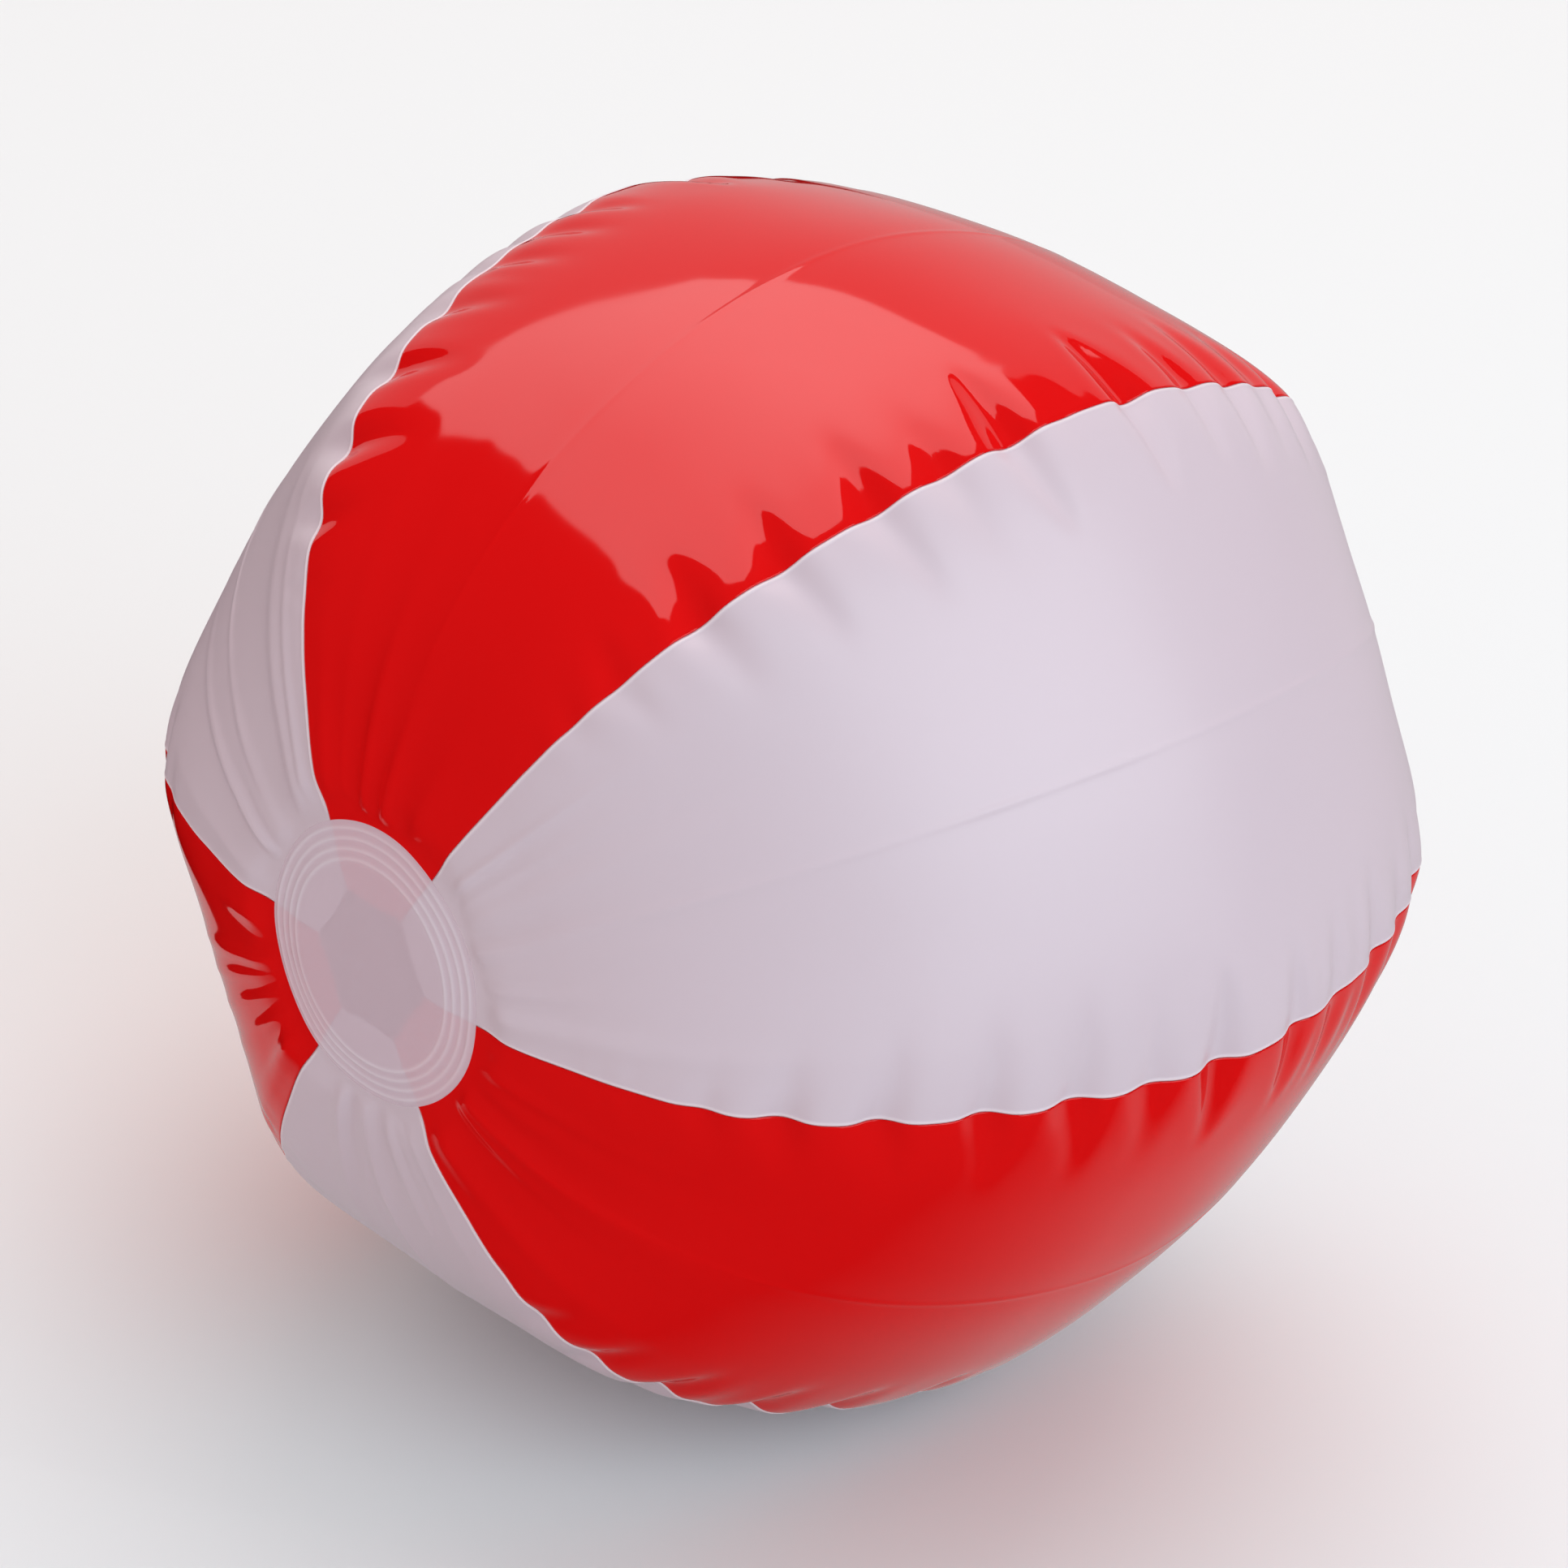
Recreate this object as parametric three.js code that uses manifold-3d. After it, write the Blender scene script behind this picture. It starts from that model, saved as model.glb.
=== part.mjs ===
// Inflatable beach ball: six welded vinyl panels, a disc over each pole, and a push-in air valve.
// Millimetres, +Z up. The ball lies on the middle of its lowest panel, and the origin is there.
// The seams run from pole to pole along Y. The plain pole faces -Y, the valve's pole +Y.

import * as THREE from "three";
import { mergeVertices } from "three/addons/utils/BufferGeometryUtils.js";
import Module from "manifold-3d";

const wasm = await Module();
wasm.setup();

// ---- The inflated ball ----
const BALL_RADIUS = 140; // mean radius of the widest ring
const POLE_HEIGHT = 0.9377 * BALL_RADIUS; // from the centre to each pole
const RADIUS_POWER = 0.6608; // under 1: the poles are flat, as on every ball of flat-cut panels
const HEIGHT_POWER = 1.1788;
const PANEL_COUNT = 6;
const PANEL_ANGLE = (2 * Math.PI) / PANEL_COUNT;
// The section across the seam axis is a rounded hexagon with its corners on the seams.
const CORNER_AT_POLE = 0.0763;
const CORNER_SQUARE_TERM = -0.1176;
const CORNER_FOURTH_TERM = 0.0649;
const CORNER_SHARPNESS = 0.1851;

// ---- Panels ----
const FILM = 0.2; // vinyl film thickness
const GAP = 0.3; // clear space between pieces that are welded on the real ball
const PANEL_TIP_RADIUS = 17; // the panels end here, under the pole discs
const LAP_WIDTH = 4; // a white panel's edge runs this far under its red neighbour
const LAP_DEPTH = FILM + GAP;
const LAP_STEP_START = 0.4; // from the seam, where the tucked edge begins to rise
const LAP_STEP_END = 1.2; // from the seam, where it is level with the red panel
const PANEL_ROWS = 18; // steps from tip to tip
const PANEL_COLUMNS = 8; // steps between the two lap lines
const FLOOR_FLATTENING = 1.3; // how much the weight of the ball flattens the lowest panel

// ---- Pole discs ----
const DISC_RADIUS = 32.9;
const DISC_THICKNESS = 0.35;
const DISC_FLAT_RADIUS = 22; // the middle is flat, and the rim follows the panels
const DISC_HOLE_RADIUS = 10.5; // in the valve's disc only
const DISC_SEGMENTS = 36;
const WELD_RING_FRACTIONS = [0.74, 0.81, 0.88, 0.95]; // of the disc's radius
const WELD_RING_WIDTH = 1.2;
const WELD_RING_HEIGHT = 0.25;

// ---- Air valve, measured along Y from the outer face of the valve's disc, outward positive ----
const VALVE_SEGMENTS = 24;
const FLANGE_INNER_RADIUS = 10.3;
const FLANGE_OUTER_RADIUS = 14;
const FLANGE_THICKNESS = 0.6;
const STEM_RADIUS = 5;
const STEM_RIM_RADIUS = 5.5;
const STEM_RIM_LENGTH = 1.2;
const BORE_RADIUS = 3.15;
const STEM_TOP = 0.3; // the rim stands this far out of the disc when the valve is pushed in
const STEM_LENGTH = 13;
const STEM_CHAMFER = 0.4;
const DIAPHRAGM_WALL = 0.6;
const DIAPHRAGM_THICKENING = 0.5; // by this share of the wall, from the flange to the cuff
const DIAPHRAGM_OUTER_RADIUS = 10;
const DIAPHRAGM_DEPTH = 6; // from the disc down to the cuff round the stem
const DIAPHRAGM_STEPS = 5;
const CUFF_RADIUS = STEM_RADIUS + GAP;
const CUFF_LENGTH = 2;
const HINGE_OFFSET = 8.5; // the stopper's fold line, above the stem's axis
const HINGE_LEVEL = 0.35;
const STOPPER_HEAD_RADIUS = 6.5;
const STOPPER_HEAD_THICKNESS = 1.4;
const STOPPER_HEAD_ROUNDING = 0.4;
const PLUG_LENGTH = 4.5;
const PLUG_STEPS = 4;
const PLUG_CLEARANCE = 0.1; // a push fit on the real valve
const STRAP_WIDTH = 4;
const STRAP_THICKNESS = 0.75;
const STRAP_END = 8.6; // above the stem's axis
const STOPPER_TAB_END = 8.2; // above the stem's axis
const PULL_TAB_END = 9.6; // below the stem's axis
const PULL_TAB_WIDTH = 5;
const PULL_TAB_ROUNDING = 2;
const FLAP_RADIUS = 4.25;
const FLAP_THICKNESS = 0.5;
const FLAP_CHAMFER = 0.125;

// ---- Fineness of the shapes ----
const BISECTION_STEPS = 50;
const NORMAL_STEP = 1e-3; // radians, for the surface's slope
const JOINED_DISTANCE = 1e-4; // vertices closer than this are one vertex
const TAB_CORNER_SEGMENTS = 4;

// Places that follow from the sizes above.
const DISC_INNER_FACE = POLE_HEIGHT + GAP;
const DISC_OUTER_FACE = DISC_INNER_FACE + DISC_THICKNESS;
const SEAM_ANGLE = 0; // a seam lies along +X, and the next ones every PANEL_ANGLE

// ---- Materials ----
function vinyl(color, roughness, opacity = 1) {
  return new THREE.MeshStandardMaterial({
    color,
    roughness,
    metalness: 0,
    opacity,
    transparent: opacity < 1,
  });
}
const redVinyl = () => vinyl(0xd01018, 0.15);
const whiteVinyl = () => vinyl(0xe6dfe4, 0.2);
const milkyVinyl = () => vinyl(0xc9c1c8, 0.3, 0.8);
const clearMoulding = () => vinyl(0xd8dadf, 0.3);

// ---- Ball surface ----
// How far the section is drawn out at a seam, as a fraction of its radius.
function cornerAmount(sine) {
  return CORNER_AT_POLE + CORNER_SQUARE_TERM * sine ** 2 + CORNER_FOURTH_TERM * sine ** 4;
}

// polar: 0 at the -Y pole, pi at the +Y pole. around: from +X towards +Z.
function ballPoint(polar, around) {
  const sine = Math.sin(polar);
  const cosine = Math.cos(polar);
  const turn = PANEL_COUNT * (around - SEAM_ANGLE);
  const wave = Math.cos(turn) + CORNER_SHARPNESS * Math.cos(2 * turn);
  const radius = BALL_RADIUS * sine ** RADIUS_POWER * (1 + cornerAmount(sine) * wave);
  const height = -POLE_HEIGHT * Math.sign(cosine) * Math.abs(cosine) ** HEIGHT_POWER;
  return new THREE.Vector3(radius * Math.cos(around), height, radius * Math.sin(around));
}

function outwardNormal(polar, around) {
  const step = NORMAL_STEP;
  const alongSeam = ballPoint(polar + step, around).sub(ballPoint(polar - step, around));
  const acrossPanel = ballPoint(polar, around + step).sub(ballPoint(polar, around - step));
  return alongSeam.cross(acrossPanel).normalize();
}

// The polar angle at which the seam is this far from the axis, on the -Y half.
function polarAtRadius(radius) {
  let low = 0;
  let high = Math.PI / 2;
  for (let i = 0; i < BISECTION_STEPS; i++) {
    const middle = (low + high) / 2;
    if (ballPoint(middle, SEAM_ANGLE).x < radius) low = middle;
    else high = middle;
  }
  return low;
}

// How far the seam has dropped from the pole's plane at this distance from the axis.
function dropAtRadius(radius) {
  return POLE_HEIGHT + ballPoint(polarAtRadius(radius), SEAM_ANGLE).y;
}

// The floor's height, measured from the ball's centre.
const FLOOR_HEIGHT = ballPoint(Math.PI / 2, -Math.PI / 2).z + FLOOR_FLATTENING;

// ---- Closed thin sheet from a grid of points ----
// outer and inner are grids of points, rows by columns. The rows run along Y, the columns turn
// from +X towards +Z. The quads' diagonals are mirrored about the grid's middle.
function sheetGeometry(outer, inner) {
  const rows = outer.length;
  const columns = outer[0].length;
  const positions = [...outer.flat(), ...inner.flat()].flatMap((p) => [p.x, p.y, p.z]);
  const innerStart = rows * columns;
  const triangles = [];
  const at = (row, column) => row * columns + column;
  for (let row = 0; row < rows - 1; row++) {
    for (let column = 0; column < columns - 1; column++) {
      const a = at(row, column);
      const b = at(row + 1, column);
      const c = at(row + 1, column + 1);
      const d = at(row, column + 1);
      const mirrored = (row < (rows - 1) / 2) === (column < (columns - 1) / 2);
      const pair = mirrored ? [[a, b, d], [b, c, d]] : [[a, b, c], [a, c, d]];
      for (const [i, j, k] of pair) {
        triangles.push(i, j, k);
        triangles.push(innerStart + k, innerStart + j, innerStart + i);
      }
    }
  }
  const border = [];
  for (let row = 0; row < rows - 1; row++) border.push(at(row, 0));
  for (let column = 0; column < columns - 1; column++) border.push(at(rows - 1, column));
  for (let row = rows - 1; row > 0; row--) border.push(at(row, columns - 1));
  for (let column = columns - 1; column > 0; column--) border.push(at(0, column));
  border.forEach((from, i) => {
    const to = border[(i + 1) % border.length];
    triangles.push(to, from, innerStart + from);
    triangles.push(to, innerStart + from, innerStart + to);
  });
  const geometry = new THREE.BufferGeometry();
  geometry.setAttribute("position", new THREE.Float32BufferAttribute(positions, 3));
  geometry.setIndex(triangles);
  return geometry;
}

// ---- Panels ----
// A column of a panel: toSeam is the distance in from the seam on its own side, sunk is how far
// it lies under the ball's surface. A column between the lap lines has a share from -1 to 1.
function panelColumns(lapped) {
  const edge = lapped
    ? [
        { toSeam: -LAP_WIDTH, sunk: LAP_DEPTH },
        { toSeam: LAP_STEP_START, sunk: LAP_DEPTH },
        { toSeam: LAP_STEP_END, sunk: 0 },
      ]
    : [{ toSeam: 0, sunk: 0 }];
  const between = [];
  for (let i = 0; i <= PANEL_COLUMNS; i++) {
    between.push({ share: (2 * i) / PANEL_COLUMNS - 1, sunk: 0 });
  }
  return [
    ...edge.map((column) => ({ ...column, side: -1 })),
    ...between,
    ...edge.map((column) => ({ ...column, side: 1 })).reverse(),
  ];
}

function columnAngle(column, centreAngle, rowRadius) {
  const half = PANEL_ANGLE / 2;
  if (column.side) return centreAngle + column.side * (half - column.toSeam / rowRadius);
  return centreAngle + column.share * (half - LAP_WIDTH / rowRadius);
}

// The floor presses the lowest panel flat, with the film's thickness kept above it.
function restOnFloor(point, depth) {
  point.z = Math.max(point.z, FLOOR_HEIGHT + depth);
  return point;
}

function panel(name, centreDegrees, lapped, material) {
  const centreAngle = THREE.MathUtils.degToRad(centreDegrees);
  const firstPolar = polarAtRadius(PANEL_TIP_RADIUS);
  const columns = panelColumns(lapped);
  const layer = (depth) => {
    const grid = [];
    for (let row = 0; row <= PANEL_ROWS; row++) {
      const polar = firstPolar + (row / PANEL_ROWS) * (Math.PI - 2 * firstPolar);
      const rowRadius = ballPoint(polar, SEAM_ANGLE).x;
      grid.push(
        columns.map((column) => {
          const around = columnAngle(column, centreAngle, rowRadius);
          const inward = outwardNormal(polar, around).multiplyScalar(-(depth + column.sunk));
          return restOnFloor(ballPoint(polar, around).add(inward), depth);
        }),
      );
    }
    return grid;
  };
  return piece(name, sheetGeometry(layer(0), layer(FILM)), material);
}

// ---- Turned pieces ----
function piece(name, geometry, material) {
  const mesh = new THREE.Mesh(geometry, material);
  mesh.name = name;
  return mesh;
}

// points are [radius, y] pairs. The lathe turns them about Y.
function turned(points, segments) {
  return new THREE.LatheGeometry(
    points.map(([radius, y]) => new THREE.Vector2(radius, y)),
    segments,
  );
}

function turnedRing(points, segments) {
  return turned([...points, points[0]], segments);
}

// ---- Pole discs ----
// The height of a disc's outer face above its flat middle: it falls away with the panels.
function discFall(radius) {
  if (radius <= DISC_FLAT_RADIUS) return 0;
  return dropAtRadius(radius) - dropAtRadius(DISC_FLAT_RADIUS);
}

// The outer face from the rim to the flat middle, with a low ridge for each pressed weld ring.
function discOuterFace() {
  const face = [[DISC_RADIUS, DISC_OUTER_FACE - discFall(DISC_RADIUS)]];
  for (const fraction of [...WELD_RING_FRACTIONS].reverse()) {
    const middle = fraction * DISC_RADIUS;
    for (const side of [1, 0, -1]) {
      const radius = middle + (side * WELD_RING_WIDTH) / 2;
      const ridge = side === 0 ? WELD_RING_HEIGHT : 0;
      face.push([radius, DISC_OUTER_FACE - discFall(radius) + ridge]);
    }
  }
  face.push([DISC_FLAT_RADIUS, DISC_OUTER_FACE]);
  return face;
}

// The inner face from the flat middle out to the rim.
function discInnerFace() {
  const radii = [DISC_FLAT_RADIUS, (DISC_FLAT_RADIUS + DISC_RADIUS) / 2, DISC_RADIUS];
  return radii.map((radius) => [radius, DISC_INNER_FACE - discFall(radius)]);
}

function plainDisc() {
  const rim = [...discInnerFace(), ...discOuterFace()];
  const outline = [[0, DISC_INNER_FACE], ...rim, [0, DISC_OUTER_FACE]];
  return turned(outline, DISC_SEGMENTS).rotateX(Math.PI);
}

function valveDisc() {
  const rim = [...discInnerFace(), ...discOuterFace()];
  const outline = [[DISC_HOLE_RADIUS, DISC_INNER_FACE], ...rim, [DISC_HOLE_RADIUS, DISC_OUTER_FACE]];
  return turnedRing(outline, DISC_SEGMENTS);
}

// ---- Air valve ----
// Y of a level measured from the outer face of the valve's disc.
const valveY = (level) => DISC_OUTER_FACE + level;

// A flat bar in the plane of X and Z with its far end rounded off, between two levels.
function bar(width, fromZ, toZ, bottomLevel, thickness, endRadius) {
  const outline = new THREE.Shape();
  const half = width / 2;
  const direction = Math.sign(toZ - fromZ);
  const bend = toZ - direction * endRadius;
  outline.moveTo(-half, fromZ);
  outline.lineTo(half, fromZ);
  outline.lineTo(half, bend);
  outline.quadraticCurveTo(half, toZ, half - endRadius, toZ);
  outline.lineTo(-half + endRadius, toZ);
  outline.quadraticCurveTo(-half, toZ, -half, bend);
  outline.closePath();
  const geometry = new THREE.ExtrudeGeometry(outline, {
    depth: thickness,
    bevelEnabled: false,
    curveSegments: TAB_CORNER_SEGMENTS,
  });
  return geometry.rotateX(Math.PI / 2).translate(0, valveY(bottomLevel + thickness), 0);
}

// The ring welded to the inside of the disc, round its hole.
function valveFlange() {
  const top = DISC_INNER_FACE - GAP;
  const bottom = top - FLANGE_THICKNESS;
  const section = [
    [FLANGE_INNER_RADIUS, bottom],
    [FLANGE_OUTER_RADIUS, bottom],
    [FLANGE_OUTER_RADIUS, top],
    [FLANGE_INNER_RADIUS, top],
  ];
  return turnedRing(section, VALVE_SEGMENTS);
}

// The flexible cone between the flange and the stem. It folds inwards with the valve pushed in,
// and turns inside out when the stem is pulled out. Its inner end is a cuff round the stem.
function valveDiaphragm() {
  const top = DISC_INNER_FACE - GAP;
  const cuffTop = valveY(-DIAPHRAGM_DEPTH);
  const cuffBottom = cuffTop - CUFF_LENGTH;
  const cuffOuter = CUFF_RADIUS + DIAPHRAGM_WALL;
  const upperFace = [];
  const lowerFace = [];
  for (let i = 0; i <= DIAPHRAGM_STEPS; i++) {
    const along = i / DIAPHRAGM_STEPS;
    const eased = (1 - Math.cos(Math.PI * along)) / 2; // level at both ends, steep between
    const radius = THREE.MathUtils.lerp(DIAPHRAGM_OUTER_RADIUS, cuffOuter, along);
    const y = THREE.MathUtils.lerp(top, cuffTop, eased);
    upperFace.push([radius, y]);
    lowerFace.push([radius, y - DIAPHRAGM_WALL * (1 + along * DIAPHRAGM_THICKENING)]);
  }
  const cuff = [
    [CUFF_RADIUS, cuffTop],
    [CUFF_RADIUS, cuffBottom],
    [cuffOuter, cuffBottom],
  ];
  return turnedRing([...upperFace, ...cuff, ...lowerFace.reverse()], VALVE_SEGMENTS);
}

// The blow-in tube, open at both ends.
function valveStem() {
  const top = valveY(STEM_TOP);
  const bottom = top - STEM_LENGTH;
  const rimBottom = top - STEM_RIM_LENGTH;
  const section = [
    [BORE_RADIUS, bottom],
    [STEM_RADIUS - STEM_CHAMFER, bottom],
    [STEM_RADIUS, bottom + STEM_CHAMFER],
    [STEM_RADIUS, rimBottom - STEM_CHAMFER],
    [STEM_RIM_RADIUS, rimBottom],
    [STEM_RIM_RADIUS, top - STEM_CHAMFER / 2],
    [STEM_RIM_RADIUS - STEM_CHAMFER / 2, top],
    [BORE_RADIUS, top],
  ];
  return turnedRing(section, VALVE_SEGMENTS);
}

// The short band that ties the stopper to the stem's rim.
function stopperStrap() {
  const bottomLevel = HINGE_LEVEL - GAP - STRAP_THICKNESS;
  return bar(STRAP_WIDTH, STEM_RIM_RADIUS + GAP, STRAP_END, bottomLevel, STRAP_THICKNESS, GAP);
}

// The plug's radius at a level: its far side must pass the bore's mouth as it swings out.
function plugRadius(level) {
  const reach = HINGE_OFFSET + BORE_RADIUS;
  const depth = HINGE_LEVEL - level;
  return Math.sqrt(reach ** 2 - depth ** 2) - HINGE_OFFSET - PLUG_CLEARANCE;
}

function solidOf(geometry) {
  geometry.deleteAttribute("normal");
  geometry.deleteAttribute("uv");
  const merged = mergeVertices(geometry, JOINED_DISTANCE);
  return new wasm.Manifold(
    new wasm.Mesh({
      numProp: 3,
      vertProperties: merged.attributes.position.array,
      triVerts: new Uint32Array(merged.index.array),
    }),
  );
}

function geometryOf(solid) {
  const { vertProperties, triVerts } = solid.getMesh();
  const geometry = new THREE.BufferGeometry();
  geometry.setAttribute("position", new THREE.Float32BufferAttribute(vertProperties, 3));
  geometry.setIndex(new THREE.Uint32BufferAttribute(triVerts, 1));
  return geometry;
}

// Head and plug in one turned piece, with a tab to the strap and a tab to pull it out by.
function stopper() {
  const headBottom = STEM_TOP + GAP;
  const headTop = headBottom + STOPPER_HEAD_THICKNESS;
  const plugBottom = headBottom - PLUG_LENGTH;
  const outline = [[0, valveY(plugBottom)]];
  for (let i = 0; i <= PLUG_STEPS; i++) {
    const level = THREE.MathUtils.lerp(plugBottom, headBottom, i / PLUG_STEPS);
    outline.push([plugRadius(level), valveY(level)]);
  }
  outline.push(
    [STOPPER_HEAD_RADIUS - STOPPER_HEAD_ROUNDING, valveY(headBottom)],
    [STOPPER_HEAD_RADIUS, valveY(headBottom + STOPPER_HEAD_ROUNDING)],
    [STOPPER_HEAD_RADIUS, valveY(headTop - STOPPER_HEAD_ROUNDING)],
    [STOPPER_HEAD_RADIUS - STOPPER_HEAD_ROUNDING, valveY(headTop)],
    [0, valveY(headTop)],
  );
  const tabLevel = headBottom + (STOPPER_HEAD_THICKNESS - STRAP_THICKNESS) / 2;
  const inHead = STOPPER_HEAD_RADIUS - STRAP_THICKNESS; // the tabs start inside the head
  const strapTab = bar(STRAP_WIDTH, inHead, STOPPER_TAB_END, tabLevel, STRAP_THICKNESS, GAP);
  const pullTab = bar(
    PULL_TAB_WIDTH,
    -inHead,
    -PULL_TAB_END,
    tabLevel,
    STRAP_THICKNESS,
    PULL_TAB_ROUNDING,
  );
  const turnedPart = solidOf(turned(outline, VALVE_SEGMENTS));
  return geometryOf(turnedPart.add(solidOf(strapTab)).add(solidOf(pullTab)));
}

// The thin disc that the air in the ball presses against the stem's inner end.
function checkFlap() {
  const top = valveY(STEM_TOP - STEM_LENGTH - GAP);
  const bottom = top - FLAP_THICKNESS;
  const outline = [
    [0, bottom],
    [FLAP_RADIUS - FLAP_CHAMFER, bottom],
    [FLAP_RADIUS, bottom + FLAP_CHAMFER],
    [FLAP_RADIUS, top - FLAP_CHAMFER],
    [FLAP_RADIUS - FLAP_CHAMFER, top],
    [0, top],
  ];
  return turned(outline, VALVE_SEGMENTS);
}

// ---- The whole ball ----
const panels = [
  ["panel_red_top", 90, false],
  ["panel_white_upper_left", 150, true],
  ["panel_red_lower_left", 210, false],
  ["panel_white_bottom", 270, true],
  ["panel_red_lower_right", 330, false],
  ["panel_white_upper_right", 30, true],
];

const ball = new THREE.Group();
ball.position.z = -FLOOR_HEIGHT;
for (const [name, centreDegrees, lapped] of panels) {
  ball.add(panel(name, centreDegrees, lapped, lapped ? whiteVinyl() : redVinyl()));
}
ball.add(piece("front_pole_disc", plainDisc(), milkyVinyl()));
ball.add(piece("rear_pole_disc", valveDisc(), milkyVinyl()));

const valve = new THREE.Group();
valve.add(piece("valve_flange", valveFlange(), clearMoulding()));
valve.add(piece("valve_diaphragm", valveDiaphragm(), clearMoulding()));
valve.add(piece("valve_stem", valveStem(), clearMoulding()));
valve.add(piece("stopper_strap", stopperStrap(), clearMoulding()));
valve.add(piece("stopper", stopper(), clearMoulding()));
valve.add(piece("check_flap", checkFlap(), clearMoulding()));
ball.add(valve);

const part = new THREE.Group();
part.add(ball);

export default part;
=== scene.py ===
"""Inflatable beach ball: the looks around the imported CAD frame. Metres, +Z up, seams run along Y.

Six welded vinyl panels, pulled into shape by a film simulation, a milky disc over each pole, and
the push-in air valve in the middle of the rear disc.
"""

import math

import bmesh
import bpy
import numpy as np
from mathutils import Matrix, Vector

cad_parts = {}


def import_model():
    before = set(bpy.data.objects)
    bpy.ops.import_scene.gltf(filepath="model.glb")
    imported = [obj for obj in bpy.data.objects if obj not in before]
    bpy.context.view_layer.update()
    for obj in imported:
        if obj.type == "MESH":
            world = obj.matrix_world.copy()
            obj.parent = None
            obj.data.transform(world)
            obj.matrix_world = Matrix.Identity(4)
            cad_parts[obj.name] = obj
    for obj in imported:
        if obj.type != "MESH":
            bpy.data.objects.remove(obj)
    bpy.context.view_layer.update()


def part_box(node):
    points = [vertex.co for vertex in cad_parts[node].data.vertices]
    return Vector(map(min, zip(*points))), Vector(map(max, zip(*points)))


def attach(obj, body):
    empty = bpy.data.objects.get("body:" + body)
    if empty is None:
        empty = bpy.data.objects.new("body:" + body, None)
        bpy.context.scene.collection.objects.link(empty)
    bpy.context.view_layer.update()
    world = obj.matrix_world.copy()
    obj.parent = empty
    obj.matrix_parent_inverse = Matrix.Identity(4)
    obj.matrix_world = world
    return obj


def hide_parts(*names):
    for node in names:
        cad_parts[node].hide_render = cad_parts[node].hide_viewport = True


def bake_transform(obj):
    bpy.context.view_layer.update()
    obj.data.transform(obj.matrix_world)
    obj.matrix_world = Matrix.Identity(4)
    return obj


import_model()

# ---- The ball's shape, as in the CAD model ----
BALL_RADIUS = 0.140
POLE_HEIGHT = 0.9377 * BALL_RADIUS
RADIUS_POWER = 0.6608
HEIGHT_POWER = 1.1788
CORNER_TERMS = (0.0763, -0.1176, 0.0649)  # of the sine's powers 0, 2 and 4
CORNER_SHARPNESS = 0.1851
POLAR_LIMIT = 0.5  # of the radius, and ball_height only works inside it
HEIGHT_ROUNDS = 8  # of the search in ball_height
PANEL_COUNT = 6
PANEL_ANGLE = 2 * math.pi / PANEL_COUNT
PANEL_TIP_RADIUS = 0.017
FILM = 0.0002
MM = 0.001
WELD_GAP = 0.3 * MM  # the clear space that the CAD model keeps between welded pieces
STEM_LOW, STEM_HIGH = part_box("valve_stem")
CENTRE_Z = (STEM_LOW.z + STEM_HIGH.z) / 2
BALL_CENTRE = Vector((0, 0, CENTRE_Z))

# ---- Pole discs, as in the CAD model ----
DISC_RADIUS = 32.9 * MM
DISC_THICKNESS = 0.35 * MM
DISC_FLAT_RADIUS = 22 * MM
DISC_HOLE_RADIUS = 10.5 * MM
DISC_FACE = POLE_HEIGHT + WELD_GAP + DISC_THICKNESS  # from the middle plane to the flat outer face
WELD_RINGS = (0.74, 0.81, 0.88, 0.95)  # of the disc's radius
WELD_RING_SPREAD = 0.48 * MM  # from a ring's crest to where it is down to a third
WELD_RING_HEIGHT = 0.21 * MM
DISC_CLEARANCE = 0.05 * MM
DISC_BEND = (DISC_FLAT_RADIUS, 30 * MM)  # the disc bends down to the panels between these radii
PANELS = [  # from +X towards +Z
    "panel_white_upper_right",
    "panel_red_top",
    "panel_white_upper_left",
    "panel_red_lower_left",
    "panel_white_bottom",
    "panel_red_lower_right",
]

# ---- Film simulation ----
PRESSURE = 500.0  # pascals, a ball that is blown up by mouth
STRETCH_STIFFNESS = 3000.0  # newtons per metre, the film's modulus times its thickness
BENDING_STIFFNESS = (1.8e-5, 0.7e-5)  # newton metres, for the coarse and the fine grid
SEAM_BENDING = 12.0  # a weld is this many times stiffer
SEAM_BAND = 0.0025  # to each side of the seam
SHEAR_RATIO = 0.33  # Poisson's ratio
STRAIGHT_SHARE = 0.8  # of the stretch stiffness, in the springs along rows and columns
CUT_SCALE = 0.985  # the panels are cut this much smaller than they are when stretched
GRID_COLUMNS = 72  # over one panel, on the coarse grid
GRID_ROW = 0.002
RELAX_STEPS = (1500, 600)
DAMPING = 0.992
STEP_SAFETY = 0.55
SEED = 6
LENGTH_NOISE = 0.04  # how unevenly the seams are welded, as a share of their length
LENGTH_NOISE_SPAN = 0.020
LENGTH_NOISE_REACH = 2.5  # coarse rows to each side of the seam
BUMP_NOISE = 0.0010  # how far the film starts out of place at the seams
BUMP_NOISE_SPAN = 0.0055
BUMP_NOISE_REACH = 4
POLE_CALM = (0.018, 0.050)  # the unevenness grows between these distances from a panel's tip
CLAMP_RADIUS = 0.034  # the film inside this radius is held by the pole disc
CLAMP_EASE = 0.010  # and it comes free over this distance
SHAPE_FILTER = 0.009  # slower changes of shape than this follow the CAD model
SHAPE_RAMP = 0.025
TIP_SAMPLES = 4001  # to find a panel's tip
OUTLINE_SAMPLES = 20001  # to measure its length
HOOP_SAMPLES = 200
BELL_REACH = 3  # spreads, where a bell curve is cut off
THIN_CELL = 0.75  # of a row: cells narrower than this bend no more stiffly


def mix(first, second, share):
    return first + (second - first) * share


def signed_power(values, power):
    """A power of the values' size that keeps their sign."""
    return np.sign(values) * np.abs(values) ** power


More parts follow.
